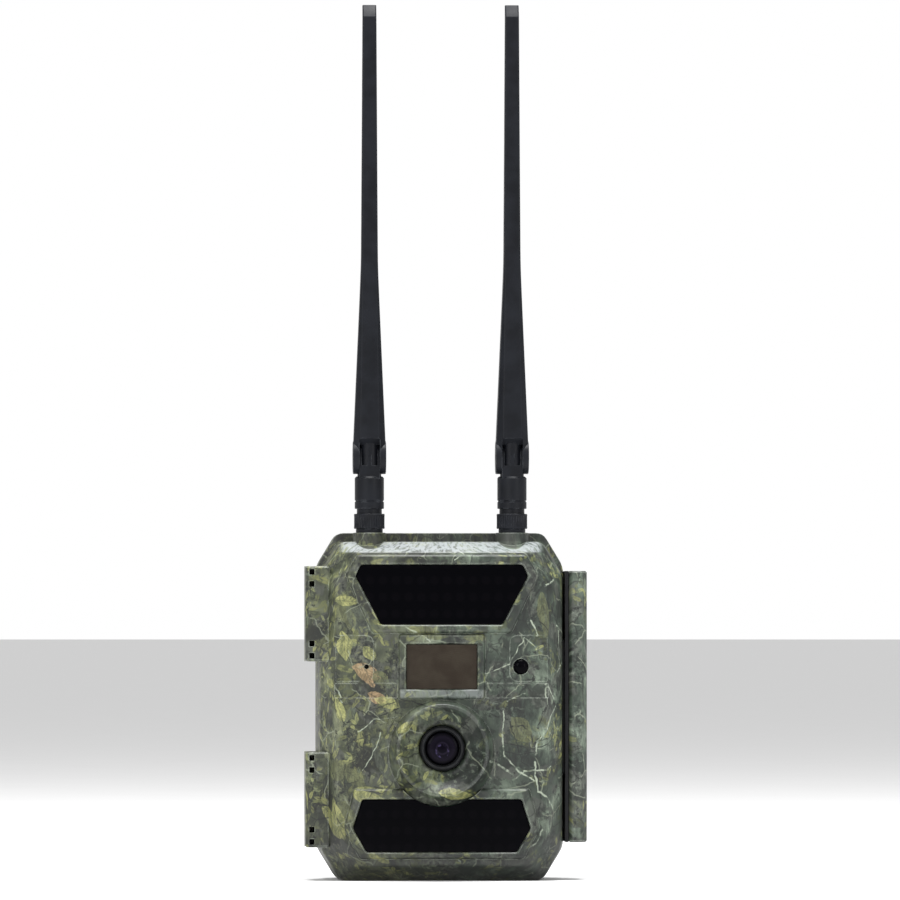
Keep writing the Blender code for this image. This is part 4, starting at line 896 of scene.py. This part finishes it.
def make_board_material():
    """Green solder mask with copper tracks, pads and vias under it."""
    shader = Shader("solder_mask", 0.35)
    cells = shader.cells(shader.place, 2.2, "F1", flat=False, randomness=0.6)
    vias = shader.step(cells["Distance"], 0.1, 0.14, 1.0, 0.0)
    lines = shader.math(
        "PINGPONG",
        shader.math("ADD", shader.parts(shader.place)[0], shader.parts(shader.place)[2]), 0.8,
    )
    tracks = shader.math(
        "MULTIPLY",
        shader.step(lines, 0.35, 0.42), shader.step(shader.noise(shader.place, 6.0, 1.0), 0.5, 0.52),
    )
    green = shader.mix(tracks, srgb(18, 74, 46), srgb(30, 96, 58))
    shader.colour(shader.mix(vias, green, srgb(170, 160, 120)))
    shader.bump(tracks, 0.03)
    shader.rough(shader.step(shader.noise(shader.place, 3.0), 0.3, 0.7, 0.28, 0.45))
    return shader.material


def make_cell_material():
    """The cells' printed sleeve: dark wrap with a copper-coloured end band."""
    shader = Shader("cell_sleeve", 0.3, Coat_Weight=0.4, Coat_Roughness=0.15)
    _, _, z = shader.parts(shader.place)
    low, high = box_mm("lower_cell_1")[1].z, box_mm("upper_cell_1")[0].z
    half = (low + high) / 2
    out = shader.math("ABSOLUTE", shader.math("SUBTRACT", z, half))
    band = shader.step(out, 13.0, 13.2, 1.0, 0.0)
    rub = shader.noise(shader.vector("MULTIPLY", shader.place, (1.0, 1.0, 0.2)), 1.5, 4.0)
    body = shader.mix(shader.step(rub, 0.35, 0.7), srgb(28, 30, 34), srgb(42, 44, 50))
    shader.colour(shader.mix(band, body, srgb(176, 112, 62)))
    shader.bump(rub, 0.01)
    return shader.material


def make_screen_material():
    shader = Shader("screen_glass", 0.12, Coat_Weight=0.5, Coat_Roughness=0.05)
    x, _, z = shader.parts(shader.vector("SUBTRACT", shader.place, tuple(middle_mm("screen_module"))))
    low, high = box_mm("screen_module")
    wide, tall = (high.x - low.x) / 2, (high.z - low.z) / 2
    inside_x = shader.step(shader.math("ABSOLUTE", x), wide - 2.4, wide - 2.2, 1.0, 0.0)
    inside_z = shader.step(shader.math("ABSOLUTE", z), tall - 2.4, tall - 2.2, 1.0, 0.0)
    active = shader.math("MULTIPLY", inside_x, inside_z)
    shader.colour(shader.mix(active, srgb(10, 10, 12), srgb(44, 50, 56)))
    shader.rough(shader.step(shader.noise(shader.place, 6.0, 4.0), 0.4, 0.7, 0.1, 0.22))
    shader.bump(shader.noise(shader.place, 5.0), 0.01)
    return shader.material


MATERIALS = {
    "camo_front": camouflage("camo_front", PLATEAU_Y, 1.0, 0.46, 0.0, 1.64),
    "camo_ring": camouflage("camo_ring", PLATEAU_Y, 0.2, 0.46, 0.0, 1.58),
    "camo_back": camouflage("camo_back", box_mm("back_case")[1].y, -1.0, 0.5, 0.0, 1.64),
    "camo_latch": camouflage("camo_latch", box_mm("latch_cover")[0].y, 1.0, 0.5, 131.0, 1.48),
    "black_plastic": moulded("black_plastic", (16, 17, 19), 0.5, Specular_IOR_Level=0.2),
    "antenna_black": moulded(
        "antenna_black", (19, 21, 26), 0.42, worn=(120, 124, 130), Specular_IOR_Level=0.15
    ),
    "dark_window": make_window_material(),
    "pir_film": make_film_material(),
    "lens_glass": make_glass_material(),
    "steel": metal("steel", (190, 190, 188), 0.3),
    "brass": metal("brass", (196, 160, 92), 0.3),
    "circuit_board": make_board_material(),
    "cell_wrap": make_cell_material(),
    "screen": make_screen_material(),
    "rubber": moulded("rubber", (30, 30, 30), 0.75, 0.5, 0.03, (50, 50, 50)),
    "grey_key": moulded("grey_key", (128, 132, 136), 0.6, 0.4, 0.02, (190, 192, 194)),
    "card": moulded("card", (36, 52, 92), 0.4, 0.4, 0.01, (120, 128, 150)),
}


# ---------------------------------------------------------------- front shell

FRONT_BACK_Y = PARTING_Y - 0.15
PLATEAU = octagon(HALF_W - 7.7, 6.5, CASE_H - 8.4)
UPPER_WINDOW = six_sided([CASE_H - drop for drop in (13.6, 18.2, 38.4)], (33.8, 36.0, 25.4))
UPPER_BEZEL = six_sided([CASE_H - drop for drop in (9.2, 17.7, 42.1)], (35.5, 40.5, 29.2))
LOWER_WINDOW = six_sided((34.1, 22.1, 12.3), (33.3, 37.1, 31.4))
LOWER_BEZEL = six_sided((38.7, 22.3, 9.2), (36.7, 41.1, 34.2))
SEAT_Y = BEZEL_Y + 2.9
RING_BASE_Z = PIR.z - 36.4
RING_BASE_R = 22.0
LUG_STARTS = (14.0, CASE_H - 54.0)
LUG_LENGTH = 40.0
HINGE = HINGE_X - CX


def rectangle(half_w, half_h, middle_z):
    return [
        (-half_w, middle_z - half_h), (half_w, middle_z - half_h),
        (half_w, middle_z + half_h), (-half_w, middle_z + half_h),
    ]


def raised(outline, radius):
    """A frame that stands on the plateau, with a chamfered and softened front."""
    rings = [
        at_y(rounded(inset(outline, 2.2), radius), BEZEL_Y),
        at_y(rounded(inset(outline, 0.8), radius), BEZEL_Y),
        at_y(rounded(outline, radius), PLATEAU_Y - 1.0),
        at_y(rounded(outline, radius), PLATEAU_Y + 1.0),
    ]
    return soft_skin(rings, [0, 0.45, 0.3, 0])


def window_cut(outline, radius):
    """The window's recess, with a small chamfer at its mouth, and the smaller opening behind its ledge."""
    rings = [
        at_y(rounded(inset(outline, -1.3), radius), BEZEL_Y - 0.6),
        at_y(rounded(inset(outline, -0.3), radius), BEZEL_Y + 0.4),
        at_y(rounded(inset(outline, -0.3), radius), SEAT_Y),
    ]
    behind = opening(inset(outline, 1.8), SEAT_Y - 0.5, PLATEAU_Y + 3.5)
    return [take(skin(rings)), take(behind)]


def lug_steps(start):
    end = start + LUG_LENGTH
    outer = -HALF_W - 5.0
    front = PLATEAU_Y + 4.5
    shape = [
        (outer, front + 1.2), (outer + 1.2, front), (5.0 - HALF_W, front), (5.0 - HALF_W, front + 3.0),
        (2.0 - HALF_W, SHOULDER_Y + 1.0), (2.0 - HALF_W, FRONT_BACK_Y), (outer, FRONT_BACK_Y),
    ]
    steps = [add(soft_prism(shape, "Z", start + 0.03, end - 0.03, 0.7, 0.55))]
    spans = (start, start + KNUCKLE_LENGTH), (end - KNUCKLE_LENGTH, end)
    for low, high in spans:
        steps.append(add(rod("Z", (HINGE, PARTING_Y, (low + high) / 2), KNUCKLE_R, high - low)))
    low, high = spans[0][1], spans[1][0]
    steps.append(take(rod("Z", (HINGE, PARTING_Y, (low + high) / 2), KNUCKLE_R + 0.3, high - low - 0.04)))
    steps.append(take(rod("Z", (HINGE, PARTING_Y, (start + end) / 2), PIN_CLEAR, LUG_LENGTH + 2.0, 26)))
    cores = []
    for z in (start + 2.4, start + 7.5, end - 7.5, end - 2.4):
        cores.append(block(HINGE - 1.1, HINGE + 1.1, front - 1.0, front + 14.0, z - 1.2, z + 1.2, 0.2))
    steps.append(take(together(*cores)))
    return steps


def make_front_shell():
    rim = octagon(HALF_W, 0.0, CASE_H)
    low_rim = octagon(HALF_W, 0.0, TOP_Z)
    shoulder = octagon(HALF_W - 1.2, 0.0, TOP_Z)
    stations = [
        (rim, FRONT_BACK_Y, 0.0), (rim, RIM_Y, 0.35),
        (low_rim, RIM_Y - 0.4, 0.3), (shoulder, SHOULDER_Y, 1.4),
        (PLATEAU, PLATEAU_Y, 1.3), (inset(PLATEAU, 3.0), PLATEAU_Y, 0.0),
    ]
    rings = [at_y(rounded(outline, 3.0), y) for outline, y, _ in stations]
    shell = new_object(
        "front_shell_skin",
        soft_skin(rings, [reach for _, _, reach in stations], 4), MATERIALS["camo_front"],
    )
    inner = octagon(HALF_W - 1.2 - WALL, WALL, TOP_Z - WALL)
    hollow = skin([
        at_y(octagon(HALF_W - WALL, WALL, TOP_Z - WALL), FRONT_BACK_Y + 1.0),
        at_y(inner, SHOULDER_Y + 1.0),
        at_y(inset(PLATEAU, WALL), PLATEAU_Y + WALL),
    ])
    steps = [take(hollow)]
    for start in LUG_STARTS:
        steps += lug_steps(start)
    posts, bores = [], []
    for x in (-40.0, 40.0):
        for z in (18.0, CASE_H - 18.0):
            top = PANEL[0].y - 0.3
            base = PLATEAU_Y + 2.0
            posts.append(rod("Y", (x, (base + top) / 2, z), 3.2, top - base))
            bores.append(rod("Y", (x, top - 4.0, z), 1.8, 12.0))
    steps += [add(together(*posts)), take(together(*bores))]
    bosses, bores = [], []
    for x in (-30.0, 30.0):
        profile = smooth_profile([(0, 0), (6.95, 0), (6.95, 14.06), (0, 14.06)], 0.5)
        bosses.append(lathe(profile, (x, PLATEAU_Y + 13.1, CASE_H - 14.0), "Z"))
        bores.append(rod("Z", (x, PLATEAU_Y + 13.1, CASE_H), 3.4, 56.0, 26))
    steps += [add(together(*bosses)), take(together(*bores))]
    steps += [add(raised(UPPER_BEZEL, 1.2)), add(raised(LOWER_BEZEL, 1.2))]
    steps += [add(raised(rectangle(18.2, 13.6, PIR.z), 1.0))]
    steps.append(take(rod("Y", (0, PLATEAU_Y - 4.8, RING_BASE_Z), RING_BASE_R + 0.3, 10.0, 96)))
    belt = PIR.z - 13.0
    for side in (-1, 1):
        start, end = sorted((side * 18.7, side * (HALF_W + 9.0)))
        steps.append(take(block(start, end, PLATEAU_Y - 1.0, PLATEAU_Y + 0.8, belt, belt + 6.0, 0.35)))
        start, end = sorted((side * 28.6, side * (HALF_W + 9.0)))
        waist = [(start, belt + 6.9), (end, belt + 6.9), (end, PIR.z + 13.1), (start, PIR.z + 13.1)]
        steps.append(take(prism(waist, "Y", PLATEAU_Y - 1.0, PLATEAU_Y + 0.4, 3.5)))
    steps += window_cut(UPPER_WINDOW, 1.1) + window_cut(LOWER_WINDOW, 1.1)
    steps += window_cut(rectangle(14.7, 9.25, PIR.z), 0.7)
    for x, z, radius in ((33.2, PIR.z, 3.3), (-31.5, PIR.z, 1.0), (0.0, LENS.z, 9.6)):
        mouth = lathe(
            [(0, -3.0), (radius + 3.3, -3.0), (radius, 0.3), (radius, 9.0), (0, 9.0)],
            (x, PLATEAU_Y, z), "Y", 48,
        )
        steps.append(take(mouth))
    port = middle_mm("port_cover").x - CX
    port_low, port_high = box_mm("port_cover")
    steps.append(take(block(port - 5.9, port + 5.9, port_low.y - 0.3, port_high.y + 0.3, -1.0, WALL + 1.0)))
    hook = box_mm("latch_hook")[0].x - CX
    middle = CASE_H / 2
    groove_y = PLATEAU_Y + 15.8
    steps.append(take(block(
        hook - 0.4, HALF_W + 1.0, groove_y - 1.8, groove_y + 1.8, middle - 29.0, middle + 29.0
    )))
    combine(shell, steps)
    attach(shell, "front_housing")
    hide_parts("front_shell")


make_front_shell()


# ---------------------------------------------------------------- lens, windows and sensors


def make_lens_ring():
    sides = 120
    seat = RING[1].y
    front = RING[0].y
    floor = front + 6.8
    bore = 9.6

    def circle(y, middle_z, radius):
        step = 2 * math.pi / sides
        return [
            (radius * math.cos(i * step), y, middle_z + radius * math.sin(i * step))
            for i in range(sides)
        ]

    rim_z = LENS.z - 0.8
    rings = [
        circle(seat, LENS.z, bore),
        circle(seat, RING_BASE_Z, RING_BASE_R),
        circle(PLATEAU_Y - 1.2, RING_BASE_Z, RING_BASE_R),
        circle(front + 1.6, rim_z, 19.8),
        circle(front + 0.4, rim_z, 19.4),
        circle(front, rim_z, 18.9),
        circle(front + 0.3, rim_z, 18.0),
        circle(front + 2.6, rim_z + 0.1, 16.2),
        circle(floor - 0.6, LENS.z, bore + 2.4),
        circle(floor, LENS.z, bore + 0.5),
        circle(floor + 0.6, LENS.z, bore),
        circle(seat, LENS.z, bore),
    ]
    reaches = [0, 0.0, 0.6, 0.8, 0.35, 0.3, 0.4, 2.5, 1.6, 0.3, 0.2, 0]
    curved = [[Vector(point) for point in ring] for ring in rings]
    result = [curved[0], curved[1]]
    for i in range(2, len(rings) - 1):
        bends = [bend(curved[i - 1][j], curved[i][j], curved[i + 1][j], reaches[i], 4) for j in range(sides)]
        result += [[bent[k] for bent in bends] for k in range(5)]
    ring = new_object("lens_ring_skin", skin(result, closed=True), MATERIALS["camo_ring"])
    settle(ring, 40)
    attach(ring, "front_housing")
    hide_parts("lens_ring")


make_lens_ring()


def placed(name, bm, slot, body, *nodes):
    """A finished piece on a body, standing for CAD nodes."""
    obj = settle(new_object(name, bm, MATERIALS[slot]))
    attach(obj, body)
    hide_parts(*nodes)
    return obj


def make_barrel():
    low, high = box_mm("lens_barrel")
    depth = high.y - low.y
    profile = [(9.3, depth), (9.3, 0.8), (8.6, 0.0), (7.9, 0.0), (7.3, 0.9)]
    for i in range(4):
        base = 1.2 + 0.8 * i
        profile += [(7.25, base), (7.25, base + 0.45), (7.5, base + 0.5), (7.5, base + 0.75)]
    profile += [(7.2, 4.4), (2.8, 5.2), (2.8, depth)]
    place = (0, low.y, LENS.z)
    placed(
        "lens_barrel_skin", lathe(profile, place, "Y", 96),
        "black_plastic", "front_housing", "lens_barrel",
    )
    dome = [(6.9 * math.sin(a), 2.2 - 1.3 * math.cos(a)) for a in [0.1 * step for step in range(13)]]
    glass = [(0, 4.1), (6.9, 4.1), (6.9, 2.2)] + dome[:0:-1] + [(0, 0.9)]
    obj = placed("lens_glass_skin", lathe(glass, place, "Y", 72), "lens_glass", "front_housing", "lens_glass")
    obj.data.set_sharp_from_angle(angle=math.radians(50))


make_barrel()


def make_windows():
    front = BEZEL_Y + 0.6
    upper = plate(UPPER_WINDOW, front, front + 2.0, 1.0, 0.3)
    placed("upper_ir_window_skin", upper, "dark_window", "front_housing", "upper_ir_window")
    lower = new_object(
        "lower_ir_window_skin",
        plate(LOWER_WINDOW, front, front + 2.0, 1.0, 0.3), MATERIALS["dark_window"],
    )
    combine(lower, [take(rod("Y", (0, front, RING_BASE_Z), RING_BASE_R + 0.3, 10.0, 96))])
    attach(lower, "front_housing")
    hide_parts("lower_ir_window")

    low, high = box_mm("pir_lens")
    half = (high.x - low.x) / 2
    radius = (half**2 + 1.4**2) / 2.8
    swing = math.degrees(math.asin(half / radius))
    bulge = arc((0, low.y + radius), radius, 270 - swing, 270 + swing, 24)
    outline = [(-half, high.y)] + bulge + [(half, high.y)]
    film = prism(outline, "Z", low.z, high.z)
    placed("pir_lens_skin", film, "pir_film", "front_housing", "pir_lens")

    place = middle_mm("light_sensor")
    back = box_mm("light_sensor")[1].y - PLATEAU_Y
    dome = [(3.0 * math.cos(a), -1.5 * math.sin(a)) for a in [0.157 * step for step in range(10)]]
    profile = [(0, back), (3.0, back), (3.0, 0.3)] + dome + [(0, -1.5)]
    sensor = lathe(profile, (place.x - CX, PLATEAU_Y, place.z), "Y", 48)
    placed("light_sensor_skin", sensor, "dark_window", "front_housing", "light_sensor")


make_windows()


# ---------------------------------------------------------------- back case and latch

BACK_HIGH = box_mm("back_case")[1]
CASE_OUTLINE = octagon(HALF_W, 0.0, CASE_H)


def make_back_case():
    front, back = PARTING_Y + 0.15, BACK_HIGH.y
    turn_y = back - 8.0
    stations = [
        (CASE_OUTLINE, front, 0.0), (CASE_OUTLINE, front + 0.3, 0.3), (CASE_OUTLINE, turn_y, 2.5),
        (inset(CASE_OUTLINE, 3.0), back, 1.6), (inset(CASE_OUTLINE, 7.0), back, 0.0),
    ]
    rings = [at_y(rounded(outline, 3.0), y) for outline, y, _ in stations]
    case = new_object(
        "back_case_skin",
        soft_skin(rings, [reach for _, _, reach in stations], 4), MATERIALS["camo_back"],
    )
    steps = [take(skin([
        at_y(inset(CASE_OUTLINE, 3.2), front - 1.0),
        at_y(inset(CASE_OUTLINE, 3.2), turn_y),
        at_y(inset(CASE_OUTLINE, 6.2), back - 3.2),
    ]))]
    outer, inner = inset(CASE_OUTLINE, 1.0), inset(CASE_OUTLINE, 2.5)
    groove = skin([
        at_y(ring, y)
        for ring, y in ((outer, front - 1), (outer, front + 1.2), (inner, front + 1.2), (inner, front - 1))
    ], True)
    steps.append(take(groove))
    for start in LUG_STARTS:
        end = start + LUG_LENGTH
        low, high = start + KNUCKLE_LENGTH + 0.3, end - KNUCKLE_LENGTH - 0.3
        middle = (start + end) / 2
        steps.append(take(rod("Z", (HINGE, PARTING_Y, middle), KNUCKLE_R + 0.3, LUG_LENGTH + 0.6)))
        web = block(HINGE, 1.0 - HALF_W, front + 0.2, PARTING_Y + KNUCKLE_R * 0.7, low + 0.5, high - 0.5)
        steps += [add(web), add(rod("Z", (HINGE, PARTING_Y, middle), KNUCKLE_R, high - low))]
        steps.append(take(rod("Z", (HINGE, PARTING_Y, middle), PIN_CLEAR, high - low + 2.0)))
    pivot = middle_mm("latch_pin")
    pivot_x = pivot.x - CX
    for side in (-1, 1):
        near, far = CASE_H / 2 + side * 29.3, CASE_H / 2 + side * 37.3
        nose = arc((pivot_x, pivot.y), 3.7, -90, 90, 20)
        ear = [(HALF_W - 1.0, pivot.y + 3.7), (HALF_W - 1.0, pivot.y - 3.7)] + nose
        steps.append(add(prism(ear, "Z", min(near, far), max(near, far))))
    steps.append(take(rod("Z", (pivot_x, pivot.y, CASE_H / 2), PIN_CLEAR, 90.0)))
    insert, jack = middle_mm("tripod_insert"), middle_mm("power_jack")
    steps.append(add(rod("Z", (insert.x - CX, insert.y, 4.8), 6.5, 7.6)))
    steps.append(take(rod("Z", (insert.x - CX, insert.y, 0), 4.3, 32.0)))
    steps.append(take(rod("Z", (jack.x - CX, jack.y, 0), 4.3, 9.6)))
    combine(case, steps)
    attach(case, "back_case")
    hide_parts("back_case")


make_back_case()


def make_latch():
    low, high = box_mm("latch_cover")
    inner, outer = low.x - CX, high.x - CX
    front, back = low.y, PARTING_Y + 9.0
    bar = [
        (inner, front + 1.4), (inner + 1.4, front), (outer - 2.0, front), (outer, front + 2.6),
        (outer, back - 1.5), (outer - 1.5, back), (inner, back),
    ]
    cover = new_object(
        "latch_cover_skin", soft_prism(bar, "Z", low.z, high.z, 0.8, 0.6), MATERIALS["camo_latch"]
    )
    pivot = middle_mm("latch_pin")
    x = pivot.x - CX
    middle = CASE_H / 2
    web = block(x - 3.0, x + 3.0, back - 1.0, pivot.y, middle - 29.0, middle + 29.0)
    profile = smooth_profile([(0, -29.0), (3.7, -29.0), (3.7, 29.0), (0, 29.0)], 0.4)
    steps = [add(web), add(lathe(profile, (x, pivot.y, middle), "Z"))]
    steps.append(take(rod("Z", (x, pivot.y, middle), PIN_CLEAR, 60.0)))
    combine(cover, steps)
    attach(cover, "latch")
    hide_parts("latch_cover")


make_latch()


# ---------------------------------------------------------------- antennas


def blade_ring(x, y, z, half_w, half_d, panel_half, front=None):
    front = -half_d if front is None else front
    chamfer = min(half_w - panel_half, half_d * 0.45)
    shape = [
        (-panel_half, front), (panel_half, front),
        (half_w, front + chamfer), (half_w, half_d - chamfer * 0.5),
        (panel_half, half_d), (-panel_half, half_d),
        (-half_w, half_d - chamfer * 0.5), (-half_w, front + chamfer),
    ]
    return [(x + a, y + b, z) for a, b in rounded(shape, 0.45, 3)]


def make_antenna(side):
    nut_low, nut_high = box_mm(f"{side}_antenna_nut")
    x = (nut_low.x + nut_high.x) / 2 - CX
    y = (nut_low.y + nut_high.y) / 2
    height = nut_high.z - nut_low.z

    def knurl(radius, level, angle):
        plain = level < 0.9 or level > height - 0.9 or radius < 5.0
        return radius if plain else radius - 0.22 * (1 + math.cos(36 * angle)) / 2

    outer = smooth_profile([(2.6, height), (6.45, height), (6.45, 0), (3.4, 0)], 0.4)
    levels = [(6.45, height - 0.95), (6.4, height - 1.1), (6.4, 1.1), (6.45, 0.95)]
    split = 5
    profile = outer[:split] + levels + outer[split:] + [(3.4, height - 2.2), (2.6, height - 2.2)]
    nut = lathe(profile, (x, y, nut_low.z), "Z", 216, knurl)
    placed(f"{side}_antenna_nut_skin", nut, "antenna_black", f"{side}_nut", f"{side}_antenna_nut")

    foot, head = box_mm(f"{side}_antenna_connector")
    base = nut_low.z - 1.68
    thread = []
    for turn in range(6):
        level = base + 1.66 + 0.65 * turn
        thread += [(2.85, level), (3.1, level + 0.2), (3.1, level + 0.4)]
    profile = [
        (0, foot.z - base), (3.1, foot.z - base), (3.1, 0),
        (5.4, 0), (5.65, 0.2), (5.65, 1.45), (5.4, 1.65),
    ]
    profile += thread + [(2.6, head.z - base), (0, head.z - base)]
    node = f"{side}_antenna_connector"
    placed(f"{node}_skin", lathe(profile, (x, y, base), "Z", 48), "antenna_black", "front_housing", node)

    low, _ = box_mm(f"{side}_antenna_swivel")
    neck = low.z + 2.0
    top = 15.4
    profile = [
        (0, -2.0), (2.3, -2.0), (2.3, -0.22), (4.9, -0.22), (5.1, -0.05), (5.1, 1.6),
        (5.3, 1.8), (5.95, 1.8), (6.15, 2.0),
        (6.15, 4.6), (5.85, 4.8), (5.85, 5.2), (6.15, 5.4), (6.15, top - 0.7), (5.5, top), (0, top),
    ]
    swivel = new_object(
        f"{side}_antenna_swivel_skin", lathe(profile, (x, y, neck), "Z", 72), MATERIALS["antenna_black"]
    )
    pin = middle_mm(f"{side}_antenna_pin")
    tongue = [(y - 5.0, neck + top - 1.0), (y + 5.0, neck + top - 1.0)] + arc((y, pin.z), 5.0, 0, 180, 24)
    sunk = []
    for hand in (-1, 1):
        start, end = sorted((x + hand * 0.8, x + hand * 3.3))
        sunk.append(block(start, end, y - 6.0, y - 2.6, pin.z - 3.4, pin.z + 6.0, 0.3))
    bore = rod("X", (x, y, pin.z), PIN_CLEAR, 27.8)
    combine(swivel, [add(prism(tongue, "X", x - 4.3, x + 4.3)), take(together(*sunk)), take(bore)])
    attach(swivel, f"{side}_swivel")
    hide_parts(f"{side}_antenna_swivel")

    spans = [
        (0.0, 6.95, 7.0, 3.95), (10.0, 6.55, 6.8, 3.92), (19.0, 6.15, 6.6, 3.9), (34.0, 5.5, 6.1, 3.65),
        (50.0, 4.8, 5.6, 3.4), (65.0, 4.15, 5.1, 3.2), (81.0, 3.5, 4.6, 3.0),
        (130.0, 3.2, 4.0, 2.76), (185.3, 2.9, 3.4, 2.5),
    ]
    rings = [blade_ring(x, y, pin.z + z, *rest) for z, *rest in spans]
    tip = blade_ring(x, y, pin.z + 190.5, 2.9, 3.4, 2.5, front=0.4)
    middle = sum((Vector(point) for point in tip), Vector()) / len(tip)
    rings.append(tip)
    rings.append([tuple(middle + (Vector(point) - middle) * 0.8) for point in tip])
    reaches = [0, 4.0, 4.0, 6.0, 6.0, 6.0, 6.0, 6.0, 0.4, 0.3, 0]
    blade = new_object(f"{side}_antenna_blade_skin", soft_skin(rings, reaches, 3), MATERIALS["antenna_black"])
    reach = 5.4
    front, back, below = y - 9.0, y + 9.0, pin.z - 9.0
    slot = [(front, below), (back, below), (back, pin.z)] + arc((y, pin.z), reach, 0, 90, 16)
    slot.append((front, pin.z + reach))
    shelf = [(front, pin.z + reach - 0.5), (y - 3.5, pin.z + reach - 0.5), (front, pin.z + reach + 4.6)]
    fork = lathe(
        smooth_profile([(0, -6.95), (7.0, -6.95), (7.0, 6.95), (0, 6.95)], 0.5), (x, y, pin.z), "X", 72
    )
    steps = [
        add(fork),
        take(prism(slot, "X", x - 4.35, x + 4.35)),
        take(prism(shelf, "X", x - 4.35, x + 4.35)),
        take(rod("X", (x, y, pin.z), PIN_CLEAR, 27.8)),
    ]
    combine(blade, steps)
    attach(blade, f"{side}_blade")
    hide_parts(f"{side}_antenna_blade")


for side in ANTENNAS:
    make_antenna(side)


# ---------------------------------------------------------------- pieces that keep their CAD shape

SOFTENED = {
    "case_gasket": ("rubber", 0.15), "port_cover": ("rubber", 0.3),
    "contact_plate_lower": ("steel", 0.1), "contact_plate_upper": ("steel", 0.1),
    "hinge_pin_lower": ("steel", 0.2), "hinge_pin_upper": ("steel", 0.2), "latch_pin": ("steel", 0.2),
    "tree_bracket_lower": ("black_plastic", 0.4), "tree_bracket_upper": ("black_plastic", 0.4),
    "tripod_insert": ("brass", 0.2), "power_jack": ("black_plastic", 0.15),
    "battery_tray": ("black_plastic", 0.25),
    "latch_hook": ("black_plastic", 0.3), "inner_panel": ("black_plastic", 0.2),
    "led_board_upper": ("circuit_board", 0.1), "led_board_lower": ("circuit_board", 0.1),
    "pir_sensor": ("steel", 0.15), "image_sensor_module": ("black_plastic", 0.3),
    "main_board": ("circuit_board", 0.1), "screen_module": ("screen", 0.2),
    "key_menu": ("grey_key", 0.2), "key_up": ("grey_key", 0.2),
    "key_down": ("grey_key", 0.2), "key_ok": ("grey_key", 0.2),
    "power_switch": ("grey_key", 0.3), "sd_card": ("card", 0.3), "sim_card": ("card", 0.2),
}
for name in ANTENNAS:
    SOFTENED[f"{name}_antenna_pin"] = ("steel", 0.2)
for number in range(1, 5):
    SOFTENED[f"panel_screw_{number}"] = ("steel", 0.2)
    SOFTENED[f"lower_cell_{number}"] = ("cell_wrap", 0.2)
    SOFTENED[f"upper_cell_{number}"] = ("cell_wrap", 0.2)


def soften_node(name, slot, width):
    """Gives a CAD node its material and, through modifiers alone, softened edges."""
    obj = bpy.data.objects[name]
    obj.data.materials.clear()
    obj.data.materials.append(MATERIALS[slot])
    weld = obj.modifiers.new("weld", "WELD")
    weld.merge_threshold = 0.01 * MM
    flat = obj.modifiers.new("flat", "DECIMATE")
    flat.decimate_type = "DISSOLVE"
    flat.angle_limit = math.radians(0.5)
    bevel = obj.modifiers.new("bevel", "BEVEL")
    bevel.width = width * MM
    bevel.segments = 2
    bevel.limit_method = "ANGLE"
    bevel.angle_limit = math.radians(40)
    bevel.use_clamp_overlap = True
    bevel.harden_normals = False


for node, (slot, width) in SOFTENED.items():
    soften_node(node, slot, width)


# ---------------------------------------------------------------- floor, light and camera

TARGET = Vector((2.1, 0.0, 181.1)) * MM
AZIMUTH, ELEVATION = -2.0, -1.0
DISTANCE = 4.0
FRAME_WIDTH = 0.3798


def make_backdrop():
    """A pale floor with nothing standing round it, so that the object is in sight from every side."""
    bm = bmesh.new()
    bmesh.ops.create_circle(bm, cap_ends=True, segments=96, radius=40.0)
    mesh = bpy.data.meshes.new("floor")
    bm.to_mesh(mesh)
    bm.free()
    mesh.shade_smooth()
    floor = bpy.data.objects.new("floor", mesh)
    bpy.context.scene.collection.objects.link(floor)
    paper = Shader("paper", 0.9)
    paper.colour(paper.mix(paper.noise(paper.place, 60.0, 3.0), srgb(236, 236, 236), srgb(240, 240, 240)))
    mesh.materials.append(paper.material)


def area_light(name, place, size, power, aim=(0.0, 0.0, 0.12)):
    data = bpy.data.lights.new(name, "AREA")
    data.shape = "RECTANGLE"
    data.size, data.size_y = size
    data.energy = power
    lamp = bpy.data.objects.new(name, data)
    lamp.location = place
    lamp.rotation_euler = (Vector(place) - Vector(aim)).to_track_quat("Z", "Y").to_euler()
    bpy.context.scene.collection.objects.link(lamp)


def make_camera():
    across, up = math.radians(AZIMUTH), math.radians(ELEVATION)
    away = Vector((math.sin(across) * math.cos(up), -math.cos(across) * math.cos(up), math.sin(up)))
    data = bpy.data.cameras.new("camera")
    data.sensor_width = 36.0
    data.lens = 36.0 * DISTANCE / FRAME_WIDTH
    camera = bpy.data.objects.new("camera", data)
    camera.location = TARGET + away * DISTANCE
    camera.rotation_euler = away.to_track_quat("Z", "Y").to_euler()
    bpy.context.scene.collection.objects.link(camera)
    bpy.context.scene.camera = camera


make_backdrop()
make_camera()
world = bpy.data.worlds.new("studio")
world.use_nodes = True
world.node_tree.nodes["Background"].inputs["Color"].default_value = (1.0, 1.0, 1.0, 1.0)
# Seen directly the room is white, and it lights the object less than that.
seen = world.node_tree.nodes.new("ShaderNodeLightPath").outputs["Is Camera Ray"]
strength = world.node_tree.nodes.new("ShaderNodeMapRange")
world.node_tree.links.new(seen, strength.inputs["Value"])
strength.inputs["To Min"].default_value = 0.72
strength.inputs["To Max"].default_value = 1.0
world.node_tree.links.new(strength.outputs["Result"], world.node_tree.nodes["Background"].inputs["Strength"])
bpy.context.scene.world = world
bpy.context.scene.view_settings.view_transform = "Standard"
area_light("overhead", (0.0, -0.15, 1.9), (1.2, 0.7), 55.0)
area_light("front_left", (-1.4, -2.2, 1.1), (1.0, 1.2), 20.0)
area_light("front_right", (1.6, -2.0, 0.7), (0.8, 1.2), 9.0)
